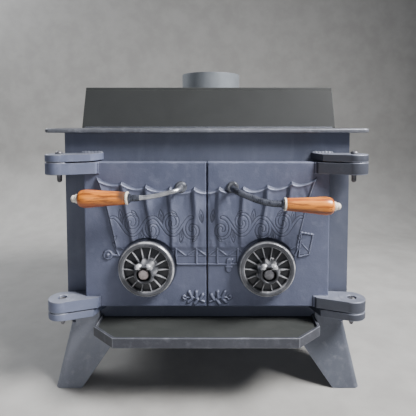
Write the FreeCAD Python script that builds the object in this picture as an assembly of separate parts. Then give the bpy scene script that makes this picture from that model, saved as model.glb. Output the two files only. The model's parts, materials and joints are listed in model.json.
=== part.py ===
import FreeCAD, Part
import math
import os

# Double-door plate-steel wood stove with a stepped top.
# Millimetres. +X to the viewer's right, -Y towards the viewer, +Z up, floor at z = 0.
# Everything is drawn with y = 0 on the front plate's front face and is moved on export,
# so that the origin lies at the middle of the base of the whole stove's box.

V = FreeCAD.Vector

# ---- driving dimensions ----
# body of welded plate
BODY_HALF_WIDTH = 364.0
BODY_BOTTOM = 168.0
PLATE = 8.0
BODY_BACK = 590.0
DOORWAY_HALF_WIDTH = 275.0
DOORWAY_BOTTOM = 251.0
DOORWAY_TOP = 560.0
# stepped top: a low cooking plate, a riser that leans back, and a high plate
LOW_TOP = 671.0
LOW_TOP_THICK = 11.0
LOW_TOP_HALF_WIDTH = 408.0
LOW_TOP_FRONT = -25.0
LOW_TOP_CORNER = 16.0
LOW_TOP_EDGE = 4.0
RISER_FOOT_Y = 131.0
RISER_HEAD_Y = 173.0
HIGH_TOP = 790.0
# flue collar for an eight-inch pipe
FLUE_BORE = 101.6
FLUE_WALL = 3.0
FLUE_Y = 468.0
FLUE_TOP = 861.0
FLUE_DEPTH_BELOW = 12.0
# ash shelf
SHELF_HALF_WIDTH = 278.0
SHELF_NOSE_HALF_WIDTH = 217.0
SHELF_SHOULDER_Y = -67.0
SHELF_FRONT = -123.0
SHELF_RIM = 7.0
SHELF_RIM_BOTTOM = 163.0
SHELF_RIM_TOP = 187.0
SHELF_PLATE_BOTTOM = 173.0
SHELF_PLATE_TOP = 180.0
# legs: tapered plate bent to an L, splayed out at the foot
LEG_BEND = 14.0
LEG_TOP_CORNER_X = 356.0
LEG_FOOT_CORNER_X = 393.0
LEG_TOP_INNER_X = 211.0
LEG_FOOT_INNER_X = 324.0
LEG_TAB_INNER_X = SHELF_HALF_WIDTH + 1.0
LEG_TAB_TOP = 196.0
LEG_FOOT_OUT = 24.0
LEG_TOP_REACH = 150.0
LEG_FOOT_REACH = 45.0
LEG_TOE_ROUND = 10.0
# doors: shallow cast pans
DOOR_SEAM_GAP = 1.6
DOOR_OUTER_X = 305.0
DOOR_BOTTOM = 223.0
DOOR_TOP = 588.0
DOOR_FACE = -38.0
DOOR_BACK = -3.0
DOOR_WALL = 10.0
DOOR_RIM = 14.0
DOOR_EDGE_ROUND = 2.5
GASKET_WIDTH = 8.0
GASKET_DEPTH = 5.0
GASKET_GAP = 0.4
# raised wagon pattern on the doors
CANOPY_RISE = 5.0
CANOPY_BOTTOM = 368.0
CANOPY_TOP_SEAM = 526.0
CANOPY_TOP_OUTER = 552.0
CANOPY_SEAM_X = 6.0
CANOPY_TOP_X = 273.0
CANOPY_BOTTOM_X = 226.0
CANOPY_BAYS = 4
CANOPY_SCALLOP = 11.0
RAIL = 4.0
BED_RAIL_Z = (351.0, 326.0)
BED_END_X = 80.0
BED_POSTS_X = (26.0, 76.0)
SIDE_BOSS_X = 241.0
SIDE_BOSS_Z = 354.0
SIDE_BOSS_RADIUS = 13.5
SIDE_BOSS_BALL = 5.5
# hinges
PIN_X = 361.0
PIN_Y = -45.0
PIN_RADIUS = 6.0
PIN_CLEARANCE = 0.08
PIN_TIP_BELOW = 21.0
PIN_HEAD_RADIUS = 9.0
PIN_HEAD = 8.0
PIN_HEAD_CROWN = 6.0
PIN_TIP_ROUND = 7.5
PIN_POCKET_RADIUS = 11.0
PIN_POCKET = 8.0
POCKET_GAP = 1.0
SHALLOW_CROWN = 2.0
PIN_SLIM_RADIUS = 4.5
PIN_SLIM_BELOW = 22.0
EYE_RADIUS = 33.0
LUG_EDGE_ROUND = 1.5
DOOR_LUG = 28.0
BODY_LUG = 18.0
LUG_GAP_ABOVE = 3.0
LUG_GAP_BELOW = 1.5
LUG_SHOULDER = (285.0, -50.0)
BODY_LUG_ROOT_X = 265.0
BODY_LUG_HEEL_X = 338.0
DOOR_LUG_ROOT_X = 262.0
DOOR_LUG_HEEL_Y = -8.0
HINGE_WASHER_RADIUS = 16.0
HINGE_WASHER = 1.1
# door handles: bent rod, turned wooden grip, ceramic ferrule and end knob
HANDLE_X = 64.0
HANDLE_Z = 526.0
HANDLE_STAND_OFF = 62.0
ELBOW_STAND_OFF = 44.0
ROD_RADIUS = 6.0
ROD_ELBOW = 24.0
ROD_SWEEP = 70.0
ROD_STRAIGHT = 46.0
TANG_RADIUS = 4.0
ROD_COLLAR_RADIUS = 11.0
ROD_COLLAR = 6.0
FERRULE_X = 181.0
FERRULE = 5.0
FERRULE_RADIUS = 15.5
FERRULE_ROUND = 1.2
GRIP_LENGTH = 111.0
GRIP_PROFILE = ((0.0, 14.5), (0.3, 16.6), (0.6, 19.0), (0.82, 21.0), (0.94, 19.4), (1.0, 13.5))
KNOB_WASHER = 5.0
KNOB_WASHER_RADIUS = 11.0
KNOB_LENGTH = 17.0
KNOB_RADIUS = 8.5
KNOB_CROWN = 6.0
BUSHING_RADIUS = 11.0
BUSHING_FLANGE_RADIUS = 15.0
BUSHING_FLANGE = 8.0
HANDLE_DROP = {"left": 16.0, "right": 30.0}
GRIP_TILT = {"left": 0.6, "right": 2.5}
# latch behind each handle
TONGUE_FRONT = 13.0
TONGUE = 10.0
TONGUE_REACH = 48.0
TONGUE_TIP_RADIUS = 7.0
TONGUE_HUB_RADIUS = 13.0
TONGUE_NECK = 11.7
TONGUE_ANGLE = 62.0
SPINDLE_PAST_NUT = 2.0
KEEPER_WIDTH = 70.0
KEEPER_HEIGHT = 22.0
KEEPER = 4.0
NUT_FLATS = 19.0
NUT = 8.0
# draft wheels
WHEEL_X = 149.0
WHEEL_Z = 325.0
WHEEL_RADIUS = 70.0
WHEEL_BAND = 14.5
WHEEL_RIM = 14.0
WHEEL_RIM_ROUND = 4.2
WHEEL_DISC = 3.0
WHEEL_STAND_OFF = 10.0
SPOKES = 14
SPOKE_WIDTH = 4.6
SPOKE_THICK = 6.0
WHEEL_SEAT_RADIUS = 73.0
HUB_RADIUS = 22.0
HUB_LENGTH = 48.0
HUB_ROUND = 2.0
HUB_RECESS_RADIUS = 16.5
HUB_RECESS = 18.0
STUD_RADIUS = 6.0
STUD_HEAD_RADIUS = 12.5
STUD_HEAD_AT = 48.0
STUD_HEAD = 8.0
STUD_INNER_END = 30.0
WASHER_RADIUS = 15.0
WASHER = 2.5
WASHER_POCKET = 4.0
WASHER_GAP = 0.4
INLET_INNER = 20.0
INLET_OUTER = 42.0
INLET_RIBS = 4
INLET_RIB_WIDTH = 12.0
BOSS_RADIUS = 20.0
BOSS_LENGTH = 8.0
# firebrick lining
BRICK_LONG = 228.0
BRICK_SHORT = 114.0
BRICK_THICK = 32.0
BRICK_JOINT = 0.8
BRICK_GAP = 1.0
RETAINER = 5.0
RETAINER_LIP = 14.0

BIG = 2000.0
FLAT = 0.01
WELD_IN = 2.0
REAR_LEG_BACK = BODY_BACK + LEG_FOOT_OUT
CENTRE_Y = (SHELF_FRONT + REAR_LEG_BACK) / 2


# ---- helpers ----
def save(name, shape):
    """Writes one node, moved so that the origin is at the middle of the base."""
    placed = shape.copy()
    placed.translate(V(0, -CENTRE_Y, 0))
    placed.exportStep("parts/" + name + ".step")


def box(x0, x1, y0, y1, z0, z1):
    return Part.makeBox(x1 - x0, y1 - y0, z1 - z0, V(x0, y0, z0))


def tube(radius, bore, length, base, direction=V(0, 0, 1)):
    return Part.makeCylinder(radius, length, base, direction).cut(
        Part.makeCylinder(bore, length, base, direction)
    )


def slab(points, z0, z1):
    """An outline in plan, given as (x, y), between two heights."""
    wire = Part.makePolygon([V(x, y, z0) for x, y in points + points[:1]])
    return Part.Face(wire).extrude(V(0, 0, z1 - z0))


def side_slab(points, x0, x1):
    """An outline seen from the side, given as (y, z), between two values of x."""
    wire = Part.makePolygon([V(x0, y, z) for y, z in points + points[:1]])
    return Part.Face(wire).extrude(V(x1 - x0, 0, 0))


def fuse(first, *others):
    return first.fuse(list(others)).removeSplitter()


def cut(shape, *tools):
    return shape.cut(list(tools))


def mirror_x(shape):
    return shape.mirror(V(0, 0, 0), V(1, 0, 0))


def mirror_depth(shape):
    return shape.mirror(V(0, BODY_BACK / 2, 0), V(0, 1, 0))


def edges_where(shape, test):
    """Straight edges whose two ends both pass a test of a point."""
    return [e for e in shape.Edges if all(test(v.Point) for v in e.Vertexes)]


def on_door(shape, x, z):
    """Stands a shape, drawn with its axis along +Z, on the left door's face, pointing out."""
    stood = shape.copy()
    stood.rotate(V(0, 0, 0), V(1, 0, 0), 90)
    stood.translate(V(x, DOOR_FACE, z))
    return stood


def hexagon(flats, bore, length):
    """A nut along +Z."""
    corner = flats / 2 / math.cos(math.pi / 6)
    points = [(corner * math.cos(k * math.pi / 3), corner * math.sin(k * math.pi / 3)) for k in range(6)]
    return cut(slab(points, 0, length), Part.makeCylinder(bore, length))


def domed_disc(radius, length, crown):
    """A disc along +Z whose outer face is crowned by a spherical cap."""
    ball = (radius**2 + crown**2) / (2 * crown)
    rise = math.sqrt(ball**2 - radius**2)
    disc = Part.makeCylinder(radius, length)
    cap = Part.makeSphere(ball, V(0, 0, length - crown - rise))
    return disc.common(cap)


def tangent_point(centre, radius, point, side):
    """Where the line from a point touches a circle, on the side given as +1 or -1."""
    dx = point[0] - centre[0]
    dy = point[1] - centre[1]
    angle = math.atan2(dy, dx) + side * math.acos(radius / math.hypot(dx, dy))
    return (centre[0] + radius * math.cos(angle), centre[1] + radius * math.sin(angle))


def bent_rod(points, bends, radius):
    """A round rod through points, with a tangent arc of the given radius at each inner point."""
    edges = []
    start = points[0]
    for before, corner, after, bend in zip(points, points[1:], points[2:], bends):
        inward = (before - corner).normalize()
        outward = (after - corner).normalize()
        half = inward.getAngle(outward) / 2
        reach = bend / math.tan(half)
        first = corner + inward * reach
        last = corner + outward * reach
        towards = (inward + outward).normalize()
        middle = corner + towards * (bend / math.sin(half) - bend)
        edges.append(Part.makeLine(start, first))
        edges.append(Part.Arc(first, middle, last).toShape())
        start = last
    edges.append(Part.makeLine(start, points[-1]))
    path = Part.Wire(edges)
    section = Part.Wire(Part.makeCircle(radius, points[0], (points[1] - points[0]).normalize()))
    return path.makePipeShell([section], True, False)


# ---- body of welded plate ----
def riser_y(z):
    """The riser's front face, which leans back as it rises."""
    return RISER_FOOT_Y + (z - LOW_TOP) * (RISER_HEAD_Y - RISER_FOOT_Y) / (HIGH_TOP - LOW_TOP)


LOW_TOP_BOTTOM = LOW_TOP - LOW_TOP_THICK
HIGH_TOP_BOTTOM = HIGH_TOP - PLATE
RISER_DEPTH = PLATE * math.hypot(RISER_HEAD_Y - RISER_FOOT_Y, HIGH_TOP - LOW_TOP) / (HIGH_TOP - LOW_TOP)
INNER_X = BODY_HALF_WIDTH - PLATE
INNER_BACK = BODY_BACK - PLATE
FLOOR_TOP = BODY_BOTTOM + PLATE


def side_plate():
    outline = [
        (PLATE, BODY_BOTTOM),
        (PLATE, LOW_TOP_BOTTOM),
        (riser_y(LOW_TOP_BOTTOM) + RISER_DEPTH, LOW_TOP_BOTTOM),
        (riser_y(HIGH_TOP_BOTTOM) + RISER_DEPTH, HIGH_TOP_BOTTOM),
        (BODY_BACK, HIGH_TOP_BOTTOM),
        (BODY_BACK, BODY_BOTTOM),
    ]
    return side_slab(outline, -BODY_HALF_WIDTH, -INNER_X)


def front_plate():
    plate = box(-BODY_HALF_WIDTH, BODY_HALF_WIDTH, 0, PLATE, BODY_BOTTOM, LOW_TOP_BOTTOM)
    doorway = box(
        -DOORWAY_HALF_WIDTH, DOORWAY_HALF_WIDTH, -BIG, BIG, DOORWAY_BOTTOM, DOORWAY_TOP
    )
    return cut(plate, doorway)


def lower_top_plate():
    plate = box(
        -LOW_TOP_HALF_WIDTH, LOW_TOP_HALF_WIDTH, LOW_TOP_FRONT, RISER_FOOT_Y, LOW_TOP_BOTTOM, LOW_TOP
    )
    front_corners = edges_where(plate, lambda p: p.y < LOW_TOP_FRONT + 1 and abs(p.x) > BODY_HALF_WIDTH)
    plate = plate.makeFillet(LOW_TOP_CORNER, [e for e in front_corners if e.BoundBox.ZLength > 1])
    rims = [
        e
        for e in plate.Edges
        if e.BoundBox.ZLength < FLAT and not e.BoundBox.YMin > RISER_FOOT_Y - 1
    ]
    return plate.makeFillet(LOW_TOP_EDGE, rims)


def step_riser():
    outline = [
        (RISER_FOOT_Y, LOW_TOP_BOTTOM),
        (RISER_FOOT_Y, LOW_TOP),
        (riser_y(HIGH_TOP_BOTTOM), HIGH_TOP_BOTTOM),
        (riser_y(HIGH_TOP_BOTTOM) + RISER_DEPTH, HIGH_TOP_BOTTOM),
        (riser_y(LOW_TOP_BOTTOM) + RISER_DEPTH, LOW_TOP_BOTTOM),
    ]
    return side_slab(outline, -BODY_HALF_WIDTH, BODY_HALF_WIDTH)


def upper_top_plate():
    outline = [
        (riser_y(HIGH_TOP_BOTTOM), HIGH_TOP_BOTTOM),
        (riser_y(HIGH_TOP), HIGH_TOP),
        (BODY_BACK, HIGH_TOP),
        (BODY_BACK, HIGH_TOP_BOTTOM),
    ]
    hole = Part.makeCylinder(FLUE_BORE + FLUE_WALL, BIG, V(0, FLUE_Y, 0))
    return cut(side_slab(outline, -BODY_HALF_WIDTH, BODY_HALF_WIDTH), hole)


def flue_collar():
    bottom = HIGH_TOP_BOTTOM - FLUE_DEPTH_BELOW
    return tube(FLUE_BORE + FLUE_WALL, FLUE_BORE, FLUE_TOP - bottom, V(0, FLUE_Y, bottom))


# ---- firebrick lining ----
BRICK_FRONT = PLATE + BRICK_GAP
BRICK_FOOT = FLOOR_TOP + BRICK_THICK
BRICK_HEAD = BRICK_FOOT + BRICK_LONG
BRICK_FACE_X = INNER_X - BRICK_THICK
BRICK_FACE_Y = INNER_BACK - BRICK_THICK


def floor_firebricks():
    """Bricks laid flat in rows, each a separate solid with a thin dry joint."""
    columns = int(2 * INNER_X // BRICK_LONG)
    rows = int((INNER_BACK - PLATE) // BRICK_SHORT)
    left = -columns * BRICK_LONG / 2
    bricks = []
    for column in range(columns):
        x = left + column * BRICK_LONG
        right = x + BRICK_LONG - BRICK_JOINT
        for row in range(rows):
            y = BRICK_FRONT + row * BRICK_SHORT
            bricks.append(box(x, right, y, y + BRICK_SHORT - BRICK_JOINT, FLOOR_TOP, BRICK_FOOT))
    return Part.makeCompound(bricks)


def side_firebricks():
    """Bricks stood on end along the left wall."""
    starts = [BRICK_FRONT + k * BRICK_SHORT for k in range(int((INNER_BACK - PLATE) // BRICK_SHORT))]
    width = BRICK_SHORT - BRICK_JOINT
    return Part.makeCompound(
        [box(-INNER_X, -BRICK_FACE_X, y, y + width, BRICK_FOOT, BRICK_HEAD) for y in starts]
    )


def rear_firebricks():
    """Full bricks in the middle and one cut brick at each end."""
    count = int(2 * BRICK_FACE_X // BRICK_SHORT)
    left = -count * BRICK_SHORT / 2
    cut_width = BRICK_FACE_X + left - BRICK_JOINT
    starts = [(left + k * BRICK_SHORT, BRICK_SHORT) for k in range(count)]
    starts += [(-BRICK_FACE_X + BRICK_JOINT, cut_width), (-left, cut_width)]
    return Part.makeCompound(
        [
            box(x, x + width - BRICK_JOINT, BRICK_FACE_Y, INNER_BACK, BRICK_FOOT, BRICK_HEAD)
            for x, width in starts
        ]
    )


def brick_retainers():
    """Angle bars along both sides and the back that keep the bricks' heads against the walls."""
    lip_x = BRICK_FACE_X - BRICK_GAP - RETAINER
    side = [
        (-INNER_X, BRICK_HEAD),
        (-INNER_X, BRICK_HEAD + RETAINER),
        (-lip_x, BRICK_HEAD + RETAINER),
        (-lip_x, BRICK_HEAD - RETAINER_LIP),
        (-lip_x - RETAINER, BRICK_HEAD - RETAINER_LIP),
        (-lip_x - RETAINER, BRICK_HEAD),
    ]
    end = BRICK_FACE_Y - 2 * BRICK_GAP - RETAINER
    wire = Part.makePolygon([V(x, BRICK_FRONT, z) for x, z in side + side[:1]])
    left = Part.Face(wire).extrude(V(0, end - BRICK_FRONT, 0))
    lip_y = BRICK_FACE_Y - BRICK_GAP
    back = side_slab(
        [
            (INNER_BACK, BRICK_HEAD),
            (INNER_BACK, BRICK_HEAD + RETAINER),
            (lip_y - RETAINER, BRICK_HEAD + RETAINER),
            (lip_y - RETAINER, BRICK_HEAD - RETAINER_LIP),
            (lip_y, BRICK_HEAD - RETAINER_LIP),
            (lip_y, BRICK_HEAD),
        ],
        -BRICK_FACE_X + RETAINER,
        BRICK_FACE_X - RETAINER,
    )
    return Part.makeCompound([left, mirror_x(left), back])


# ---- ash shelf ----
def shelf_outline(inset):
    """Half-octagon in plan, inset from the outer face of the rim."""
    slant = inset * math.tan(math.pi / 8)
    run = (SHELF_SHOULDER_Y - SHELF_FRONT) / (SHELF_HALF_WIDTH - SHELF_NOSE_HALF_WIDTH)
    shoulder = SHELF_SHOULDER_Y + slant * run
    right = [
        (SHELF_HALF_WIDTH - inset, 0),
        (SHELF_HALF_WIDTH - inset, shoulder),
        (SHELF_NOSE_HALF_WIDTH - slant, SHELF_FRONT + inset),
    ]
    return right + [(-x, y) for x, y in reversed(right)]


def ash_shelf_rim():
    outer = slab(shelf_outline(0), SHELF_RIM_BOTTOM, SHELF_RIM_TOP)
    return cut(outer, slab(shelf_outline(SHELF_RIM), SHELF_RIM_BOTTOM, SHELF_RIM_TOP))


def ash_shelf_plate():
    return slab(shelf_outline(SHELF_RIM), SHELF_PLATE_BOTTOM, SHELF_PLATE_TOP)


# ---- legs ----
def leg_section(corner_x, corner_y, inner_x, reach_y, z):
    """An L of plate in plan at height z, with its bend rounded, for the left front leg."""
    inner_bend = LEG_BEND - PLATE
    centre = V(-corner_x + LEG_BEND, corner_y + LEG_BEND, z)

    def bend(radius):
        start = centre + V(0, -radius, 0)
        middle = centre + V(-radius * math.sqrt(0.5), -radius * math.sqrt(0.5), 0)
        end = centre + V(-radius, 0, 0)
        return start, Part.Arc(start, middle, end).toShape(), end

    outer_start, outer_arc, outer_end = bend(LEG_BEND)
    inner_start, inner_arc, inner_end = bend(inner_bend)
    front_tip = V(-inner_x, corner_y, z)
    front_back = V(-inner_x, corner_y + PLATE, z)
    side_tip = V(-corner_x, reach_y, z)
    side_back = V(-corner_x + PLATE, reach_y, z)
    return Part.Wire(
        [
            Part.makeLine(front_tip, outer_start),
            outer_arc,
            Part.makeLine(outer_end, side_tip),
            Part.makeLine(side_tip, side_back),
            Part.makeLine(side_back, inner_end),
            inner_arc,
            Part.makeLine(inner_start, front_back),
            Part.makeLine(front_back, front_tip),
        ]
    )


def front_leg():
    foot = leg_section(LEG_FOOT_CORNER_X, -LEG_FOOT_OUT, LEG_FOOT_INNER_X, LEG_FOOT_REACH, 0)
    head = leg_section(LEG_TOP_CORNER_X, -PLATE, LEG_TOP_INNER_X, LEG_TOP_REACH, SHELF_RIM_BOTTOM)
    splayed = Part.makeLoft([foot, head], True, True)
    toe = edges_where(splayed, lambda p: p.z < 1 and abs(p.x + LEG_FOOT_INNER_X) < 1)
    splayed = splayed.makeFillet(LEG_TOE_ROUND, toe)
    neck_section = leg_section(LEG_TOP_CORNER_X, -PLATE, LEG_TAB_INNER_X, LEG_TOP_REACH, SHELF_RIM_BOTTOM)
    neck = Part.Face(neck_section).extrude(V(0, 0, BODY_BOTTOM - SHELF_RIM_BOTTOM))
    tab = box(
        -LEG_TOP_CORNER_X + LEG_BEND, -LEG_TAB_INNER_X, -PLATE, 0, BODY_BOTTOM, LEG_TAB_TOP
    )
    return fuse(splayed, neck, tab)


# ---- hinges ----
EYE = (-PIN_X, PIN_Y)
SHOULDER = (-LUG_SHOULDER[0], LUG_SHOULDER[1])
UPPER_BODY_LUG_BOTTOM = DOOR_TOP + LUG_GAP_ABOVE
LOWER_BODY_LUG_TOP = DOOR_BOTTOM - LUG_GAP_BELOW
LOWER_BODY_LUG_BOTTOM = LOWER_BODY_LUG_TOP - BODY_LUG


def lug_outline(z, roots, heel):
    """Plan outline of a lug: round eye, tapered front edge, then the points where it meets its plate."""
    front = tangent_point(EYE, EYE_RADIUS, SHOULDER, -1)
    rear = tangent_point(EYE, EYE_RADIUS, heel, 1)
    eye_arc = Part.Arc(
        V(front[0], front[1], z), V(EYE[0] - EYE_RADIUS, EYE[1], z), V(rear[0], rear[1], z)
    )
    points = [V(x, y, z) for x, y in [rear, heel] + roots + [SHOULDER, front]]
    sides = [Part.makeLine(a, b) for a, b in zip(points, points[1:])]
    return Part.Face(Part.Wire([eye_arc.toShape()] + sides))


def body_lug(bottom):
    roots = [(-BODY_LUG_ROOT_X, 0)]
    lug = lug_outline(bottom, roots, (-BODY_LUG_HEEL_X, 0)).extrude(V(0, 0, BODY_LUG))
    free = [e for e in lug.Edges if e.BoundBox.ZLength < FLAT and e.BoundBox.YMin < -1]
    lug = lug.makeFillet(LUG_EDGE_ROUND, free)
    return cut(lug, Part.makeCylinder(PIN_RADIUS, BODY_LUG, V(-PIN_X, PIN_Y, bottom)))


def door_lug(bottom):
    roots = [(-DOOR_OUTER_X, DOOR_LUG_HEEL_Y), (-DOOR_LUG_ROOT_X, DOOR_FACE + DOOR_WALL / 2)]
    heel = (-DOOR_OUTER_X - 1, DOOR_LUG_HEEL_Y)
    lug = lug_outline(bottom, roots, heel).extrude(V(0, 0, DOOR_LUG))
    bore = Part.makeCylinder(PIN_RADIUS + PIN_CLEARANCE, DOOR_LUG, V(-PIN_X, PIN_Y, bottom))
    return cut(lug, bore)


def upper_hinge_pin():
    top = UPPER_BODY_LUG_BOTTOM + BODY_LUG
    bottom = DOOR_TOP - DOOR_LUG - PIN_TIP_BELOW
    shank = Part.makeCylinder(PIN_RADIUS, top - bottom, V(0, 0, bottom))
    tip = Part.makeSphere(PIN_TIP_ROUND, V(0, 0, bottom + PIN_TIP_ROUND))
    above = Part.makeCylinder(PIN_RADIUS, BIG, V(0, 0, bottom + PIN_TIP_ROUND))
    shank = shank.common(tip.fuse(above))
    head = domed_disc(PIN_HEAD_RADIUS, PIN_HEAD, PIN_HEAD_CROWN)
    head.translate(V(0, 0, top))
    pin = fuse(shank, head)
    pin.translate(V(-PIN_X, PIN_Y, 0))
    return pin


def lower_hinge_pin():
    top = DOOR_BOTTOM + DOOR_LUG
    head_bottom = top - PIN_POCKET + POCKET_GAP
    head = domed_disc(PIN_HEAD_RADIUS, top - head_bottom, SHALLOW_CROWN)
    head.translate(V(0, 0, head_bottom))
    shank = Part.makeCylinder(
        PIN_RADIUS, head_bottom - LOWER_BODY_LUG_BOTTOM, V(0, 0, LOWER_BODY_LUG_BOTTOM)
    )
    tip_bottom = LOWER_BODY_LUG_BOTTOM - PIN_SLIM_BELOW
    ball = PIN_SLIM_RADIUS
    tip = fuse(
        Part.makeCylinder(PIN_SLIM_RADIUS, PIN_SLIM_BELOW - ball, V(0, 0, tip_bottom + ball)),
        Part.makeSphere(ball, V(0, 0, tip_bottom + ball)),
    )
    pin = fuse(shank, head, tip)
    pin.translate(V(-PIN_X, PIN_Y, 0))
    return pin


def hinge_washer():
    return tube(
        HINGE_WASHER_RADIUS, PIN_RADIUS, HINGE_WASHER, V(-PIN_X, PIN_Y, LOWER_BODY_LUG_TOP)
    )


# ---- doors ----
def canopy():
    """Raised wagon cover: a panel with a scalloped top edge that rises towards the hinge."""
    step = (CANOPY_TOP_X - CANOPY_SEAM_X) / CANOPY_BAYS
    climb = (CANOPY_TOP_OUTER - CANOPY_TOP_SEAM) / CANOPY_BAYS
    peaks = [
        V(-CANOPY_SEAM_X - k * step, DOOR_FACE, CANOPY_TOP_SEAM + k * climb) for k in range(CANOPY_BAYS + 1)
    ]
    edges = []
    for near, far in zip(peaks, peaks[1:]):
        dip = (near + far) / 2 - V(0, 0, CANOPY_SCALLOP)
        edges.append(Part.Arc(near, dip, far).toShape())
    low_outer = V(-CANOPY_BOTTOM_X, DOOR_FACE, CANOPY_BOTTOM)
    low_seam = V(-CANOPY_SEAM_X, DOOR_FACE, CANOPY_BOTTOM)
    edges.append(Part.makeLine(peaks[-1], low_outer))
    edges.append(Part.makeLine(low_outer, low_seam))
    edges.append(Part.makeLine(low_seam, peaks[0]))
    return Part.Face(Part.Wire(edges)).extrude(V(0, -CANOPY_RISE, 0))


def wagon_bed():
    """Rails and posts of the wagon bed under the cover."""
    front = DOOR_FACE - CANOPY_RISE
    high, low = BED_RAIL_Z
    bars = [box(-BED_END_X, -CANOPY_SEAM_X, front, DOOR_FACE, z, z + RAIL) for z in BED_RAIL_Z]
    bars += [box(-x - RAIL, -x, front, DOOR_FACE, low, CANOPY_BOTTOM) for x in BED_POSTS_X]
    return bars


def side_boss():
    disc = domed_disc(SIDE_BOSS_RADIUS, CANOPY_RISE, SHALLOW_CROWN)
    ball = Part.makeSphere(SIDE_BOSS_BALL, V(0, 0, CANOPY_RISE))
    return on_door(disc.fuse(ball), -SIDE_BOSS_X, SIDE_BOSS_Z)


def draft_inlet():
    """Four sectors of a ring that let air in behind the draft wheel."""
    ring = tube(INLET_OUTER, INLET_INNER, BIG, V(0, 0, -BIG / 2))
    for k in range(INLET_RIBS // 2):
        rib = box(-BIG, BIG, -INLET_RIB_WIDTH / 2, INLET_RIB_WIDTH / 2, -BIG, BIG)
        rib.rotate(V(0, 0, 0), V(0, 0, 1), 45 + k * 90)
        ring = ring.cut(rib)
    return on_door(ring, -WHEEL_X, WHEEL_Z)


def door_casting():
    pan = box(-DOOR_OUTER_X, -DOOR_SEAM_GAP, DOOR_FACE, DOOR_BACK, DOOR_BOTTOM, DOOR_TOP)
    face_edges = edges_where(pan, lambda p: p.y < DOOR_FACE + FLAT)
    pan = pan.makeFillet(DOOR_EDGE_ROUND, [e for e in face_edges if e.BoundBox.XMin < -DOOR_SEAM_GAP - 1])
    hollow = box(
        -DOOR_OUTER_X + DOOR_RIM,
        -DOOR_SEAM_GAP - DOOR_RIM,
        DOOR_FACE + DOOR_WALL,
        DOOR_BACK,
        DOOR_BOTTOM + DOOR_RIM,
        DOOR_TOP - DOOR_RIM,
    )
    boss = on_door(Part.makeCylinder(BOSS_RADIUS, DOOR_WALL + BOSS_LENGTH), -WHEEL_X, WHEEL_Z)
    boss.translate(V(0, DOOR_WALL + BOSS_LENGTH, 0))
    lugs = [door_lug(DOOR_TOP - DOOR_LUG), door_lug(DOOR_BOTTOM)]
    door = fuse(cut(pan, hollow), boss, canopy(), side_boss(), *wagon_bed(), *lugs)
    pocket_bottom = DOOR_BOTTOM + DOOR_LUG - PIN_POCKET
    pocket = Part.makeCylinder(PIN_POCKET_RADIUS, PIN_POCKET, V(-PIN_X, PIN_Y, pocket_bottom))
    stud_hole = on_door(Part.makeCylinder(STUD_RADIUS, BIG, V(0, 0, -BIG / 2)), -WHEEL_X, WHEEL_Z)
    wheel_seat = on_door(Part.makeCylinder(WHEEL_SEAT_RADIUS, BIG), -WHEEL_X, WHEEL_Z)
    bushing_hole = on_door(
        Part.makeCylinder(BUSHING_RADIUS, BIG, V(0, 0, -BIG / 2)), -HANDLE_X, HANDLE_Z
    )
    bushing_seat = on_door(Part.makeCylinder(BUSHING_FLANGE_RADIUS, BIG), -HANDLE_X, HANDLE_Z)
    holes = [pocket, stud_hole, wheel_seat, bushing_hole, bushing_seat, draft_inlet(), gasket_groove()]
    return cut(door, *holes)


def gasket_path(y0, y1):
    """Three sides of the door's rim: the hinge side, the top and the bottom."""
    middle = DOOR_RIM / 2
    half = GASKET_WIDTH / 2
    outer = box(
        -DOOR_OUTER_X + middle - half,
        -DOOR_SEAM_GAP - DOOR_RIM,
        y0,
        y1,
        DOOR_BOTTOM + middle - half,
        DOOR_TOP - middle + half,
    )
    inner = box(
        -DOOR_OUTER_X + middle + half,
        BIG,
        y0,
        y1,
        DOOR_BOTTOM + middle + half,
        DOOR_TOP - middle - half,
    )
    return cut(outer, inner)


def gasket_groove():
    return gasket_path(DOOR_BACK - GASKET_DEPTH, DOOR_BACK)


def door_gasket():
    return gasket_path(DOOR_BACK - GASKET_DEPTH, -GASKET_GAP)


# ---- door handles and latches ----
def handle_bushing():
    flange = domed_disc(BUSHING_FLANGE_RADIUS, BUSHING_FLANGE, SHALLOW_CROWN)
    sleeve = Part.makeCylinder(BUSHING_RADIUS, DOOR_WALL, V(0, 0, -DOOR_WALL))
    bore = Part.makeCylinder(ROD_RADIUS + PIN_CLEARANCE, BIG, V(0, 0, -BIG / 2))
    bushing = cut(fuse(flange, sleeve), bore)
    return on_door(bushing, -HANDLE_X, HANDLE_Z)


def grip_direction(side):
    tilt = math.radians(GRIP_TILT[side])
    return V(-math.cos(tilt), 0, -math.sin(tilt))


def grip_start(side):
    """Where the rod enters the ferrule."""
    return V(-FERRULE_X, DOOR_FACE - HANDLE_STAND_OFF, HANDLE_Z - HANDLE_DROP[side])


def along_grip(shape, side, distance):
    """Places a shape drawn along +Z on the grip's axis, starting at a distance from the ferrule."""
    direction = grip_direction(side)
    placed = shape.copy()
    placed.Placement = FreeCAD.Placement(
        grip_start(side) + direction * distance, FreeCAD.Rotation(V(0, 0, 1), direction)
    )
    return placed


SPINDLE_END = TONGUE_FRONT + TONGUE + NUT + SPINDLE_PAST_NUT


def handle_rod(side):
    start = grip_start(side)
    straight = grip_direction(side)
    points = [
        V(-HANDLE_X, SPINDLE_END, HANDLE_Z),
        V(-HANDLE_X, DOOR_FACE - ELBOW_STAND_OFF, HANDLE_Z),
        start - straight * ROD_STRAIGHT,
        start,
    ]
    rod = bent_rod(points, [ROD_ELBOW, ROD_SWEEP], ROD_RADIUS)
    collar = along_grip(Part.makeCylinder(ROD_COLLAR_RADIUS, ROD_COLLAR), side, -ROD_COLLAR)
    tang = along_grip(Part.makeCylinder(TANG_RADIUS, FERRULE + GRIP_LENGTH + KNOB_WASHER), side, 0)
    return fuse(rod, collar, tang)


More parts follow.
